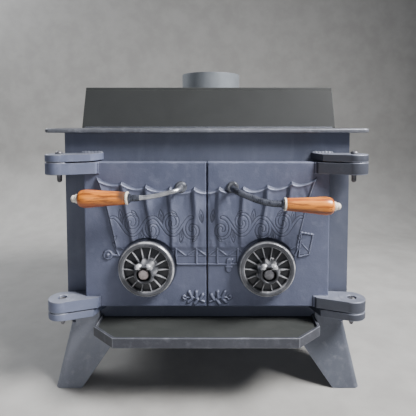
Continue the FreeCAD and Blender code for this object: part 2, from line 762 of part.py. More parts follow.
def handle_ferrule(side):
    ring = tube(FERRULE_RADIUS, TANG_RADIUS, FERRULE, V(0, 0, 0))
    rims = [
        e for e in ring.Edges if e.BoundBox.ZLength < FLAT and e.BoundBox.XLength > 2 * FERRULE_RADIUS - 1
    ]
    return along_grip(ring.makeFillet(FERRULE_ROUND, rims), side, 0)


def handle_grip(side):
    """A turned handle that swells towards its outer end."""
    points = [V(radius, 0, share * GRIP_LENGTH) for share, radius in GRIP_PROFILE]
    curve = Part.BSplineCurve()
    curve.interpolate(points)
    outline = [
        curve.toShape(),
        Part.makeLine(points[-1], V(TANG_RADIUS, 0, GRIP_LENGTH)),
        Part.makeLine(V(TANG_RADIUS, 0, GRIP_LENGTH), V(TANG_RADIUS, 0, 0)),
        Part.makeLine(V(TANG_RADIUS, 0, 0), points[0]),
    ]
    grip = Part.Face(Part.Wire(outline)).revolve(V(0, 0, 0), V(0, 0, 1), 360)
    return along_grip(Part.Solid(grip) if grip.ShapeType == "Shell" else grip, side, FERRULE)


def handle_end_knob(side):
    washer = tube(KNOB_WASHER_RADIUS, TANG_RADIUS, KNOB_WASHER, V(0, 0, 0))
    length = KNOB_LENGTH - KNOB_WASHER
    knob = domed_disc(KNOB_RADIUS, length, KNOB_CROWN)
    knob.translate(V(0, 0, KNOB_WASHER))
    return along_grip(fuse(washer, knob), side, FERRULE + GRIP_LENGTH)


def spindle_ring(shape, y):
    """Places a shape drawn along +Z on the spindle's axis, reaching inwards from y."""
    placed = shape.copy()
    placed.rotate(V(0, 0, 0), V(1, 0, 0), -90)
    placed.translate(V(-HANDLE_X, y, HANDLE_Z))
    return placed


def latch_tongue():
    """A tapered tongue with a round tip, turned away from upright towards the seam."""
    angle = math.radians(TONGUE_ANGLE)
    tip = (
        (TONGUE_REACH - TONGUE_TIP_RADIUS) * math.sin(angle),
        -(TONGUE_REACH - TONGUE_TIP_RADIUS) * math.cos(angle),
    )
    turn = V(math.cos(angle), math.sin(angle), 0)
    sides = [
        (turn.x * TONGUE_NECK, turn.y * TONGUE_NECK),
        (tip[0] + turn.x * TONGUE_TIP_RADIUS, tip[1] + turn.y * TONGUE_TIP_RADIUS),
        (tip[0] - turn.x * TONGUE_TIP_RADIUS, tip[1] - turn.y * TONGUE_TIP_RADIUS),
        (-turn.x * TONGUE_NECK, -turn.y * TONGUE_NECK),
    ]
    hub = Part.makeCylinder(TONGUE_HUB_RADIUS, TONGUE)
    end = Part.makeCylinder(TONGUE_TIP_RADIUS, TONGUE, V(tip[0], tip[1], 0))
    tongue = fuse(hub, end, slab(sides, 0, TONGUE))
    return spindle_ring(cut(tongue, Part.makeCylinder(ROD_RADIUS, TONGUE)), TONGUE_FRONT)


def latch_nut():
    return spindle_ring(hexagon(NUT_FLATS, ROD_RADIUS, NUT), TONGUE_FRONT + TONGUE)


def latch_keeper():
    """A wear plate welded behind the doorway's upper edge."""
    return box(
        -HANDLE_X - KEEPER_WIDTH / 2,
        -HANDLE_X + KEEPER_WIDTH / 2,
        PLATE,
        PLATE + KEEPER,
        DOORWAY_TOP,
        DOORWAY_TOP + KEEPER_HEIGHT,
    )


# ---- draft wheels ----
def draft_wheel():
    """A spoked wheel with a closed back and a deep hub, which screws along its stud."""
    inner = WHEEL_RADIUS - WHEEL_BAND
    disc = Part.makeCylinder(inner + WELD_IN, WHEEL_DISC)
    rim = tube(WHEEL_RADIUS, inner, WHEEL_RIM, V(0, 0, 0))
    outer_edges = [
        e for e in rim.Edges if e.BoundBox.ZLength < FLAT and e.BoundBox.ZMin > WHEEL_RIM - 1
    ]
    rim = rim.makeFillet(WHEEL_RIM_ROUND, outer_edges)
    hub = Part.makeCylinder(HUB_RADIUS, HUB_LENGTH)
    hub_edges = [e for e in hub.Edges if e.BoundBox.ZLength < FLAT and e.BoundBox.ZMin > HUB_LENGTH - 1]
    hub = hub.makeFillet(HUB_ROUND, hub_edges)
    spokes = []
    half = SPOKE_WIDTH / 2
    spoke_top = WHEEL_DISC + SPOKE_THICK
    for k in range(SPOKES):
        spoke = box(HUB_RADIUS - WELD_IN, inner + WELD_IN, -half, half, WHEEL_DISC - WELD_IN, spoke_top)
        spoke.rotate(V(0, 0, 0), V(0, 0, 1), 360.0 * k / SPOKES)
        spokes.append(spoke)
    wheel = fuse(rim, disc, hub, *spokes)
    bore = Part.makeCylinder(STUD_RADIUS + PIN_CLEARANCE, HUB_LENGTH)
    recess = Part.makeCylinder(HUB_RECESS_RADIUS, HUB_RECESS, V(0, 0, HUB_LENGTH - HUB_RECESS))
    pocket = Part.makeCylinder(WASHER_RADIUS + POCKET_GAP, WASHER_POCKET)
    wheel = cut(wheel, bore, recess, pocket)
    wheel.translate(V(0, 0, WHEEL_STAND_OFF))
    return on_door(wheel, -WHEEL_X, WHEEL_Z)


def draft_washer():
    """Keyed washer in a pocket at the back of the hub, which slides along the stud."""
    base = V(0, 0, WHEEL_STAND_OFF + WASHER_POCKET - WASHER_GAP - WASHER)
    return on_door(tube(WASHER_RADIUS, STUD_RADIUS + PIN_CLEARANCE, WASHER, base), -WHEEL_X, WHEEL_Z)


def draft_stud():
    shank = Part.makeCylinder(STUD_RADIUS, STUD_INNER_END + STUD_HEAD_AT, V(0, 0, -STUD_INNER_END))
    head = domed_disc(STUD_HEAD_RADIUS, STUD_HEAD, SHALLOW_CROWN)
    head.translate(V(0, 0, STUD_HEAD_AT))
    return on_door(fuse(shank, head), -WHEEL_X, WHEEL_Z)


def draft_nut():
    nut = hexagon(NUT_FLATS, STUD_RADIUS, NUT)
    nut.translate(V(0, 0, -DOOR_WALL - BOSS_LENGTH - NUT))
    return on_door(nut, -WHEEL_X, WHEEL_Z)


# ---- the stove ----
def save_pair(name, left):
    """Writes a left piece and its mirror image. The name holds {} where the side goes."""
    save(name.format("left"), left)
    save(name.format("right"), mirror_x(left))


def main():
    os.makedirs("parts", exist_ok=True)
    save_pair("{}_side_plate", side_plate())
    save("back_plate", box(-INNER_X, INNER_X, INNER_BACK, BODY_BACK, BODY_BOTTOM, HIGH_TOP_BOTTOM))
    save("floor_plate", box(-INNER_X, INNER_X, PLATE, INNER_BACK, BODY_BOTTOM, FLOOR_TOP))
    save("front_plate", front_plate())
    save("lower_top_plate", lower_top_plate())
    save("step_riser", step_riser())
    save("upper_top_plate", upper_top_plate())
    save("flue_collar", flue_collar())
    save("floor_firebricks", floor_firebricks())
    save_pair("{}_firebricks", side_firebricks())
    save("rear_firebricks", rear_firebricks())
    save("brick_retainers", brick_retainers())
    save("ash_shelf_rim", ash_shelf_rim())
    save("ash_shelf_plate", ash_shelf_plate())
    leg = front_leg()
    save_pair("{}_front_leg", leg)
    save_pair("{}_rear_leg", mirror_depth(leg))
    save_pair("{}_upper_hinge_lug", body_lug(UPPER_BODY_LUG_BOTTOM))
    save_pair("{}_lower_hinge_lug", body_lug(LOWER_BODY_LUG_BOTTOM))
    save_pair("{}_upper_hinge_pin", upper_hinge_pin())
    save_pair("{}_lower_hinge_pin", lower_hinge_pin())
    washer = hinge_washer()
    save("hinge_washers", Part.makeCompound([washer, mirror_x(washer)]))
    keeper = latch_keeper()
    save("latch_keepers", Part.makeCompound([keeper, mirror_x(keeper)]))
    save_pair("{}_door", door_casting())
    save_pair("{}_door_gasket", door_gasket())
    save_pair("{}_handle_bushing", handle_bushing())
    for side in ("left", "right"):
        face = mirror_x if side == "right" else lambda shape: shape
        save(side + "_handle_rod", face(handle_rod(side)))
        save(side + "_handle_ferrule", face(handle_ferrule(side)))
        save(side + "_handle_grip", face(handle_grip(side)))
        save(side + "_handle_end_knob", face(handle_end_knob(side)))
    save_pair("{}_latch_tongue", latch_tongue())
    save_pair("{}_latch_nut", latch_nut())
    save_pair("{}_draft_stud", draft_stud())
    save_pair("{}_draft_nut", draft_nut())
    save_pair("{}_draft_washer", draft_washer())
    save_pair("{}_draft_wheel", draft_wheel())


main()
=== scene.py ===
import json
import math

import bmesh
import bpy
import numpy as np
from mathutils import Matrix, Vector


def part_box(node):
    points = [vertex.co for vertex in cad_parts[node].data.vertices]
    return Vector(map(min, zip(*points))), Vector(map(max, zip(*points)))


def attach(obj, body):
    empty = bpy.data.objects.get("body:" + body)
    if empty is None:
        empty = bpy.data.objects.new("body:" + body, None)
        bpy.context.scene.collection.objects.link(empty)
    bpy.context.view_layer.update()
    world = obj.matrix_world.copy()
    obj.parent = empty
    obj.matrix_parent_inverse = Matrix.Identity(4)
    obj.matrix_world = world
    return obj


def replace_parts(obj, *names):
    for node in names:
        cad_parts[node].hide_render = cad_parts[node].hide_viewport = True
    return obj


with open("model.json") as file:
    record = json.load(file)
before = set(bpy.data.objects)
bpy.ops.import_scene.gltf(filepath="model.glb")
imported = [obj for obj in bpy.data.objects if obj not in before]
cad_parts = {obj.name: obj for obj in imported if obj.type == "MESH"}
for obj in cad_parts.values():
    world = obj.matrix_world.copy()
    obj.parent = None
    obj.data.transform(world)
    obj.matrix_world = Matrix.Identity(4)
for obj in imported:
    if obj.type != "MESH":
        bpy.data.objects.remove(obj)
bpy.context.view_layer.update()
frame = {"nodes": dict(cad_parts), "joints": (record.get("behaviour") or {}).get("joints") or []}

MM = 0.001
UP = Vector((0, 0, 1))
OUT = Vector((0, -1, 0))

# ---- places read from the frame ----
FRONT_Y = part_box("front_plate")[0].y
DOOR_PROUD = 38 * MM
DOOR_FACE = FRONT_Y - DOOR_PROUD
DOOR_BACK = FRONT_Y - 3 * MM
DOOR_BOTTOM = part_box("left_door")[0].z
DOOR_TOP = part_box("left_door")[1].z
DOOR_EDGE_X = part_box("right_door_gasket")[1].x + 3 * MM
SEAM_GAP = 1.6 * MM
DOOR_RIM = 14 * MM
DOOR_WALL = 10 * MM
DOOR_LUG = 28 * MM
JOINTS = {joint["name"]: joint for joint in frame["joints"]}
WHEEL_X, _, WHEEL_Z = JOINTS["right_draft_turn"]["pos_m"]
PIN_X, PIN_Y, _ = JOINTS["right_door_swing"]["pos_m"]
HANDLE_X, _, HANDLE_Z = JOINTS["right_handle_turn"]["pos_m"]
WHEEL_RADIUS = (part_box("right_draft_wheel")[1].x - WHEEL_X) / MM
SIDES = {"left": -1, "right": 1}

# ---- camera ----
CAMERA_DISTANCE = 1.02
CAMERA_X = 0.030
CAMERA_HEIGHT = 0.682
CAMERA_PITCH = 3.3
CAMERA_LENS = 34.6
CAMERA_SHIFT = (-0.0264, -0.1465)

# ---- dimensions of the looks ----
PLATE_BEVEL = 1.2 * MM
CAST_STEP = 1.3 * MM
CAST_EDGE = 3.0 * MM
SHAFT_BORE = 6.1


# ================= shaders =================
class Graph:
    """One material's node tree, with short calls for the nodes that it uses."""

    def __init__(self, name):
        self.material = bpy.data.materials.new(name)
        self.material.use_nodes = True
        self.tree = self.material.node_tree
        self.tree.nodes.clear()
        self.surface = self.node("ShaderNodeBsdfPrincipled")
        output = self.node("ShaderNodeOutputMaterial")
        self.tree.links.new(self.surface.outputs[0], output.inputs["Surface"])
        self.where = self.node("ShaderNodeTexCoord").outputs["Object"]

    def node(self, kind, inputs=None, **settings):
        made = self.tree.nodes.new(kind)
        for key, value in settings.items():
            setattr(made, key, value)
        for key, value in (inputs or {}).items():
            self.feed(made.inputs[key], value)
        return made

    def feed(self, socket, value):
        if isinstance(value, bpy.types.NodeSocket):
            self.tree.links.new(value, socket)
        else:
            socket.default_value = value

    def texture(self, kind, inputs, stretch):
        where = self.where
        if stretch:
            where = self.node("ShaderNodeMapping", {"Vector": where, "Scale": stretch}).outputs[0]
        return self.node(kind, {"Vector": where, **inputs})

    def noise(self, scale, detail=4.0, roughness=0.55, stretch=None, distortion=0.0):
        inputs = {"Scale": scale, "Detail": detail, "Roughness": roughness, "Distortion": distortion}
        return self.texture("ShaderNodeTexNoise", inputs, stretch).outputs["Fac"]

    def cells(self, scale, stretch=None):
        return self.texture("ShaderNodeTexVoronoi", {"Scale": scale}, stretch).outputs["Distance"]

    def attribute(self, name):
        return self.node("ShaderNodeAttribute", attribute_name=name).outputs["Fac"]

    def spread(self, value, low, high, to_low=0.0, to_high=1.0):
        """Maps a range of a value smoothly onto another range."""
        return self.node(
            "ShaderNodeMapRange",
            {"Value": value, "From Min": low, "From Max": high, "To Min": to_low, "To Max": to_high},
            interpolation_type="SMOOTHSTEP",
        ).outputs["Result"]

    def product(self, a, b):
        return self.node("ShaderNodeMath", {0: a, 1: b}, operation="MULTIPLY").outputs[0]

    def blend(self, share, a, b):
        made = self.node("ShaderNodeMix", data_type="RGBA")
        self.feed(made.inputs["Factor"], share)
        for socket, value in zip([s for s in made.inputs if s.type == "RGBA"], (a, b)):
            self.feed(socket, value if isinstance(value, bpy.types.NodeSocket) else (*value, 1.0))
        return [s for s in made.outputs if s.type == "RGBA"][0]

    def shaded_and_grimed(self, colour, darkening, share):
        """The colour darkened where the mesh's dark mark is set: painted shade in creases and recesses, and
        grime such as the smudge on a grip.
        """
        return self.blend(self.spread(self.attribute("grime_and_shade"), 0.0, 1.0, 0.0, share), colour, darkening)

    def bump(self, height, distance, strength, under=None):
        inputs = {"Height": height, "Distance": distance, "Strength": strength}
        if under is not None:
            inputs["Normal"] = under
        return self.node("ShaderNodeBump", inputs).outputs["Normal"]

    def finish(self, colour, roughness, normal=None, metallic=0.0, specular=0.5):
        self.feed(self.surface.inputs["Base Color"], colour)
        self.feed(self.surface.inputs["Roughness"], roughness)
        self.surface.inputs["Metallic"].default_value = metallic
        self.surface.inputs["Specular IOR Level"].default_value = specular
        if normal is not None:
            self.feed(self.surface.inputs["Normal"], normal)
        return self.material


def iron(
    name, dark, tone, light, worn, roughness=(0.42, 0.68), grain=1.0, metallic=0.25, streaks=0.0,
    mottled=0.75, specular=0.5,
):
    """Painted or blued iron: cloudy tones, a sandy skin, worn edges with painted highlights where the mesh
    marks them, and grime with painted shade in the recesses.
    """
    g = Graph(name)
    clouds = g.noise(5.0, 5.0, 0.6, distortion=0.6)
    mottle = g.noise(45.0, 6.0, 0.65)
    grit = g.noise(420.0, 3.0, 0.6)
    colour = g.blend(g.spread(clouds, 0.3, 0.7), dark, tone)
    colour = g.blend(g.spread(mottle, 0.48, 0.75, 0.0, mottled), colour, light)
    if streaks:
        wiped = g.noise(30.0, 4.0, 0.6, stretch=(1.0, 1.0, 0.12))
        colour = g.blend(g.spread(wiped, 0.52, 0.72, 0.0, streaks), colour, light)
    colour = g.blend(g.spread(grit, 0.35, 0.75, 0.0, 0.16), colour, light)
    # the worn colour also paints highlights where a mesh's wear mark stands for light, as on the door's top
    # edge and the wheels
    wear_and_highlight = g.spread(g.attribute("wear_and_highlight"), 0.0, 1.0)
    patchy = g.spread(mottle, 0.35, 0.6, 0.35, 1.0)
    colour = g.blend(g.product(wear_and_highlight, patchy), colour, worn)
    colour = g.shaded_and_grimed(colour, tuple(c * 0.3 for c in dark), 0.75)
    rough = g.spread(mottle, 0.3, 0.7, *roughness)
    skin = g.bump(mottle, 0.6 * MM, 0.25 * grain)
    skin = g.bump(grit, 0.35 * MM, 0.55 * grain, skin)
    return g.finish(colour, rough, skin, metallic, specular)


def bare_metal(name, dark, light, roughness, grain=0.6, metallic=0.9):
    """Bare or polished steel with fine scratches and dull patches."""
    g = Graph(name)
    patches = g.noise(60.0, 5.0, 0.6)
    scratches = g.noise(300.0, 3.0, 0.7, stretch=(1.0, 1.0, 0.15))
    colour = g.blend(g.spread(patches, 0.35, 0.65), dark, light)
    colour = g.shaded_and_grimed(colour, tuple(c * 0.2 for c in dark), 0.85)
    rough = g.spread(g.product(patches, scratches), 0.12, 0.4, *roughness)
    skin = g.bump(scratches, 0.15 * MM, 0.5 * grain)
    skin = g.bump(patches, 0.5 * MM, 0.3 * grain, skin)
    return g.finish(colour, rough, skin, metallic)


def varnished_wood(name):
    """Turned hardwood under varnish, with its grain along the handle, and a smudge by the ferrule."""
    g = Graph(name)
    long_grain = g.noise(85.0, 6.0, 0.65, stretch=(0.08, 1.0, 1.0), distortion=1.2)
    fibres = g.noise(420.0, 3.0, 0.6, stretch=(0.04, 1.0, 1.0))
    rings = g.noise(26.0, 3.0, 0.5, stretch=(0.12, 1.0, 1.0), distortion=2.2)
    colour = g.blend(g.spread(rings, 0.35, 0.65), (0.44, 0.095, 0.011), (0.84, 0.28, 0.036))
    colour = g.blend(g.spread(long_grain, 0.5, 0.62, 0.0, 0.85), colour, (0.16, 0.042, 0.012))
    colour = g.blend(g.spread(fibres, 0.5, 0.75, 0.0, 0.6), colour, (0.14, 0.04, 0.012))
    colour = g.shaded_and_grimed(colour, (0.05, 0.035, 0.03), 0.85)
    rough = g.spread(long_grain, 0.3, 0.7, 0.28, 0.42)
    skin = g.bump(fibres, 0.2 * MM, 0.4)
    skin = g.bump(long_grain, 0.4 * MM, 0.25, skin)
    material = g.finish(colour, rough, skin)
    g.surface.inputs["Coat Weight"].default_value = 0.35
    g.surface.inputs["Coat Roughness"].default_value = 0.18
    return material


def glazed_cream(name):
    """Cream glaze with tea-coloured stains."""
    g = Graph(name)
    stains = g.noise(160.0, 4.0, 0.6)
    colour = g.blend(g.spread(stains, 0.4, 0.75, 0.0, 0.6), (0.86, 0.81, 0.72), (0.5, 0.42, 0.31))
    rough = g.spread(stains, 0.3, 0.7, 0.3, 0.5)
    return g.finish(colour, rough, g.bump(stains, 0.3 * MM, 0.3))


def refractory(name):
    """Firebrick: buff grains and pores, blackened by the fire in patches."""
    g = Graph(name)
    clouds = g.noise(14.0, 5.0, 0.6)
    pores = g.noise(350.0, 5.0, 0.7)
    grains = g.cells(260.0)
    colour = g.blend(g.spread(clouds, 0.3, 0.7), (0.36, 0.26, 0.17), (0.55, 0.44, 0.31))
    colour = g.blend(g.spread(pores, 0.5, 0.72, 0.0, 0.7), colour, (0.16, 0.12, 0.09))
    soot = g.noise(6.0, 4.0, 0.6)
    colour = g.blend(g.spread(soot, 0.4, 0.62, 0.0, 0.85), colour, (0.035, 0.032, 0.03))
    skin = g.bump(pores, 1.2 * MM, 0.6)
    skin = g.bump(grains, 0.8 * MM, 0.3, skin)
    return g.finish(colour, g.spread(pores, 0.3, 0.7, 0.82, 0.98), skin, specular=0.3)


def woven_rope(name):
    """Braided glass fibre, dirty with soot."""
    g = Graph(name)
    strands = g.cells(520.0, stretch=(1.0, 1.0, 0.6))
    darkening = g.noise(30.0, 4.0, 0.6)
    colour = g.blend(g.spread(strands, 0.1, 0.7), (0.46, 0.44, 0.4), (0.2, 0.19, 0.175))
    colour = g.blend(g.spread(darkening, 0.4, 0.7, 0.0, 0.8), colour, (0.06, 0.055, 0.05))
    rough = g.spread(strands, 0.0, 1.0, 0.8, 0.98)
    return g.finish(colour, rough, g.bump(strands, 0.7 * MM, 0.7), specular=0.2)


DOOR_IRON = iron(
    "door_iron", (0.092, 0.106, 0.168), (0.128, 0.144, 0.22), (0.178, 0.195, 0.28), (0.36, 0.385, 0.49),
    mottled=0.6, streaks=0.22,
)
BODY_STEEL = iron(
    "body_steel", (0.085, 0.097, 0.14), (0.12, 0.133, 0.185), (0.165, 0.18, 0.235), (0.34, 0.36, 0.44),
    streaks=0.3, mottled=0.4,
)
TOP_STEEL = iron(
    "top_steel", (0.029, 0.031, 0.032), (0.035, 0.0375, 0.0385), (0.05, 0.053, 0.054), (0.25, 0.26, 0.29),
    roughness=(0.5, 0.58), grain=0.3, mottled=0.1, metallic=0.0, specular=0.22,
)
SHELF_STEEL = iron(
    "shelf_steel", (0.044, 0.048, 0.047), (0.058, 0.062, 0.061), (0.08, 0.084, 0.083), (0.3, 0.31, 0.32),
    roughness=(0.48, 0.6), specular=0.3, grain=0.4, mottled=0.2,
)
RIM_STEEL = iron(
    "rim_steel", (0.045, 0.048, 0.062), (0.066, 0.07, 0.088), (0.13, 0.137, 0.16), (0.45, 0.46, 0.5),
    roughness=(0.4, 0.6),
)
LUG_STEEL = iron(
    "lug_steel", (0.128, 0.148, 0.228), (0.17, 0.194, 0.29), (0.23, 0.258, 0.365), (0.5, 0.53, 0.62),
    mottled=0.5,
)
# painted shade: a darker copy of the lug steel, for the right lugs
SHADED_LUG_STEEL = iron(
    "shaded_lug_steel", (0.05, 0.055, 0.075), (0.072, 0.079, 0.104), (0.115, 0.124, 0.154), (0.4, 0.43, 0.5),
    mottled=0.5,
)
# painted highlight: a lighter steel for the lugs' upward faces and rounded edges, and for their welds
LIT_LUG_EDGE = iron(
    "lit_lug_edge", (0.17, 0.184, 0.24), (0.24, 0.258, 0.325), (0.34, 0.36, 0.43), (0.55, 0.57, 0.64),
    roughness=(0.35, 0.55), metallic=0.35,
)
# painted light: a lighter copy of the leg steel, for the left legs
LIT_LEG_STEEL = iron(
    "leg_steel", (0.155, 0.168, 0.21), (0.225, 0.24, 0.29), (0.31, 0.328, 0.385), (0.55, 0.58, 0.65),
    streaks=0.4, mottled=0.9,
)
# painted shade: a darker copy of the leg steel, for the right legs
SHADED_LEG_STEEL = iron(
    "shaded_leg_steel", (0.078, 0.087, 0.116), (0.118, 0.13, 0.165), (0.18, 0.193, 0.235), (0.45, 0.48, 0.54),
    streaks=0.4, mottled=0.9,
)
COLLAR_STEEL = iron(
    "collar_steel", (0.18, 0.2, 0.226), (0.22, 0.242, 0.268), (0.27, 0.29, 0.315), (0.5, 0.53, 0.55),
    grain=0.4, mottled=0.3,
)
WORN_EDGE = iron(
    "worn_edge", (0.12, 0.128, 0.15), (0.2, 0.21, 0.245), (0.32, 0.335, 0.375), (0.5, 0.52, 0.56),
    roughness=(0.35, 0.55), metallic=0.45,
)
WELD = iron(
    "weld", (0.07, 0.078, 0.1), (0.11, 0.12, 0.15), (0.16, 0.17, 0.2), (0.3, 0.31, 0.35),
    roughness=(0.3, 0.5), metallic=0.4,
)
# painted highlight as well as wear: the wheel's worn colour is nearly white, and the wear marks on the rim,
# spokes and hub use it for highlights
WHEEL_IRON = iron(
    "wheel_iron", (0.062, 0.065, 0.076), (0.098, 0.102, 0.117), (0.19, 0.196, 0.218), (0.78, 0.79, 0.83),
    roughness=(0.28, 0.42), metallic=0.35, mottled=0.6,
)
SOOTY_IRON = iron(
    "sooty_iron", (0.012, 0.012, 0.014), (0.022, 0.022, 0.025), (0.05, 0.05, 0.055), (0.15, 0.15, 0.16)
)
INNER_STEEL = iron(
    "inner_steel", (0.03, 0.027, 0.025), (0.06, 0.05, 0.044), (0.1, 0.08, 0.068), (0.2, 0.18, 0.17)
)
POLISHED_STEEL = bare_metal("polished_steel", (0.45, 0.46, 0.5), (0.62, 0.63, 0.67), (0.3, 0.4), grain=0.06)
DARK_STEEL = bare_metal("dark_steel", (0.04, 0.045, 0.062), (0.1, 0.108, 0.138), (0.22, 0.38), metallic=0.6)
BUSHING_STEEL = bare_metal("bushing_steel", (0.09, 0.095, 0.11), (0.2, 0.21, 0.24), (0.3, 0.5), metallic=0.6)
PIN_STEEL = bare_metal("pin_steel", (0.1, 0.1, 0.11), (0.22, 0.22, 0.24), (0.35, 0.6), metallic=0.7)
STUD_STEEL = bare_metal("stud_steel", (0.3, 0.25, 0.25), (0.46, 0.4, 0.4), (0.3, 0.5), metallic=0.6)
WOOD = varnished_wood("varnished_wood")
CREAM = glazed_cream("glazed_cream")
BRICK = refractory("firebrick")
ROPE = woven_rope("woven_rope")


# ================= mesh helpers =================
def placed(name, data):
    """A new object in the scene."""
    made = bpy.data.objects.new(name, data)
    bpy.context.scene.collection.objects.link(made)
    return made


def object_from(name, mesh, body, materials):
    """A visual piece of a mesh, which rides on a body."""
    made = placed(name, mesh)
    for material in materials:
        mesh.materials.append(material)
    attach(made, body)
    return made


def mesh_from(name, vertices, faces, smooth_angle=35):
    mesh = bpy.data.meshes.new(name)
    mesh.from_pydata([tuple(v) for v in vertices], [], [tuple(f) for f in faces])
    mesh.validate()
    shade(mesh, smooth_angle)
    return mesh


def shade(mesh, angle):
    mesh.polygons.foreach_set("use_smooth", [True] * len(mesh.polygons))
    mesh.set_sharp_from_angle(angle=math.radians(angle))


def set_attribute(mesh, name, values):
    attribute = mesh.attributes.new(name, "FLOAT", "POINT")
    attribute.data.foreach_set("value", np.asarray(values, np.float32))


def apply_modifiers(made):
    """Replaces an object's mesh with its evaluated one."""
    depsgraph = bpy.context.evaluated_depsgraph_get()
    mesh = bpy.data.meshes.new_from_object(made.evaluated_get(depsgraph), depsgraph=depsgraph)
    made.modifiers.clear()
    old = made.data
    made.data = mesh
    bpy.data.meshes.remove(old)


def bevel(made, width, segments=3, angle=28, edge_material=None):
    cut = made.modifiers.new("bevel", "BEVEL")
    cut.width = width
    cut.segments = segments
    cut.limit_method = "ANGLE"
    cut.angle_limit = math.radians(angle)
    cut.harden_normals = True
    if edge_material is not None:
        cut.material = edge_material
    apply_modifiers(made)


def finished(node, body, material, width=PLATE_BEVEL, edge=WORN_EDGE, segments=3):
    """A copy of a CAD node with its edges rounded and worn, which stands for it."""
    bm = bmesh.new()
    bm.from_mesh(frame["nodes"][node].data)
    bmesh.ops.remove_doubles(bm, verts=bm.verts, dist=2e-5)
    bmesh.ops.dissolve_limit(bm, angle_limit=math.radians(1.0), verts=bm.verts, edges=bm.edges)
    mesh = bpy.data.meshes.new(node + "_finished")
    bm.to_mesh(mesh)
    bm.free()
    mesh.materials.clear()
    shade(mesh, 28)
    made = object_from(node + "_finished", mesh, body, [material, edge])
    bevel(made, width, segments, edge_material=1 if edge is not material else None)
    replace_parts(made, node)
    return made


def paint(node, material):
    """Gives a CAD node that stays a procedural material."""
    kept = frame["nodes"][node]
    if kept.material_slots:
        for place in kept.material_slots:
            place.material = material
    else:
        kept.data.materials.append(material)


def frames_along(points):
    """A pair of directions square to a path at each of its points, without twist."""
    ends = [points[0], *points, points[-1]]
    tangents = [(after - before).normalized() for before, after in zip(ends, ends[2:])]
    side = tangents[0].orthogonal().normalized()
    pairs = []
    for tangent in tangents:
        side = (side - tangent * side.dot(tangent)).normalized()
        pairs.append((side.copy(), tangent.cross(side)))
    return pairs


def loft(rings):
    """Vertices and faces of a closed solid through rings of as many points, with flat ends."""
    around = len(rings[0])
    vertices = [Vector(point) for ring in rings for point in ring]
    last = len(vertices) - around
    faces = []
    for first in range(0, last, around):
        for k in range(around):
            a, b = first + k, first + (k + 1) % around
            faces.append((a, b, b + around, a + around))
    return vertices, faces + [tuple(reversed(range(around))), tuple(range(last, last + around))]


def tube_mesh(name, points, radii, around, smooth_angle):
    """A closed round tube along points, with a radius for each, and flat ends."""
    turns = [2 * math.pi * k / around for k in range(around)]
    rings = [
        [point + (side * math.cos(turn) + other * math.sin(turn)) * radius for turn in turns]
        for point, radius, (side, other) in zip(points, radii, frames_along(points))
    ]
    mesh = mesh_from(name, *loft(rings), smooth_angle)
    outwards(mesh)
    return mesh


def lathe(profile, around):
    """Vertices and faces of a closed ring or solid turned about +Z from (radius, height) points.

    A profile that starts and ends on the axis makes a solid, and any other is closed on itself.
    """
    vertices = []
    rings = []
    for radius, height in profile:
        count = 1 if radius < 1e-9 else around
        rings.append([len(vertices) + k for k in range(count)])
        for k in range(count):
            turn = 2 * math.pi * k / around
            vertices.append(Vector((radius * math.cos(turn), radius * math.sin(turn), height)))
    pairs = list(zip(rings, rings[1:]))
    if max(len(rings[0]), len(rings[-1])) > 1:
        pairs.append((rings[-1], rings[0]))
    faces = []
    for low, high in pairs:
        for k in range(around):
            n = (k + 1) % around
            corners = (low[k % len(low)], low[n % len(low)], high[n % len(high)], high[k % len(high)])
            faces.append(tuple(dict.fromkeys(corners)))
    return vertices, faces


def bend(before, corner, after, reach, steps):
    """Points of a smooth bend that starts and ends at a reach from its corner."""
    start = corner + (before - corner).normalized() * reach
    end = corner + (after - corner).normalized() * reach
    shares = [k / steps for k in range(steps + 1)]
    return [start * (1 - t) ** 2 + corner * (2 * t * (1 - t)) + end * t**2 for t in shares]


def rounded(profile, radius, steps=4):
    """A closed (radius, height) outline with each corner rounded."""
    points = [Vector(point) for point in profile]
    curve = []
    for before, corner, after in zip(points[-1:] + points[:-1], points, points[1:] + points[:1]):
        reach = min(radius, (before - corner).length / 2.2, (after - corner).length / 2.2)
        curve += bend(before, corner, after, reach, steps)
    return [tuple(point) for point in curve]


def standing(direction, at):
    """A matrix that takes +Z to a direction and the origin to a place."""
    turn = UP.rotation_difference(direction).to_matrix().to_4x4()
    return Matrix.Translation(at) @ turn


def merge(shells, name, smooth_angle=35):
    """One mesh of several (vertices, faces, matrix) shells."""
    vertices, faces = [], []
    for shell_vertices, shell_faces, matrix in shells:
        first = len(vertices)
        vertices += [matrix @ v for v in shell_vertices]
        faces += [tuple(first + k for k in face) for face in shell_faces]
    mesh = mesh_from(name, vertices, faces, smooth_angle)
    outwards(mesh)
    return mesh


def outwards(mesh):
    bm = bmesh.new()
    bm.from_mesh(mesh)
    bmesh.ops.recalc_face_normals(bm, faces=bm.faces)
    bm.to_mesh(mesh)
    bm.free()


def prism(outline, low, high):
    """Vertices and faces of an upright prism on a plan outline."""
    return loft([[(x, y, z) for x, y in outline] for z in (low, high)])


def in_metres(profile):
    return [(r * MM, z * MM) for r, z in profile]


def turned(name, profile, around, place, body, slot, material, smooth_angle=35):
    """A piece turned from one profile."""
    mesh = merge([(*lathe(profile, around), place)], name, smooth_angle)
    return object_from(name, mesh, body, [material])


def turned_node(node, *settings):
    """A turned piece that stands for a CAD node."""
    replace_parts(turned(node + "_turned", *settings), node)


def on_door(side, x, z, out=0.0):
    """A matrix at a place in front of a door's face, with +Z out of the door."""
    return standing(OUT, Vector((SIDES[side] * x, DOOR_FACE - out, z)))


def rounded_path(points, reaches, steps=14):
    """A path whose inner corners are smooth bends of the given reaches."""
    points = [Vector(point) for point in points]
    path = [points[0]]
    for before, corner, after, reach in zip(points, points[1:], points[2:], reaches):
        path += bend(before, corner, after, reach, steps)
    return path + [points[-1]]


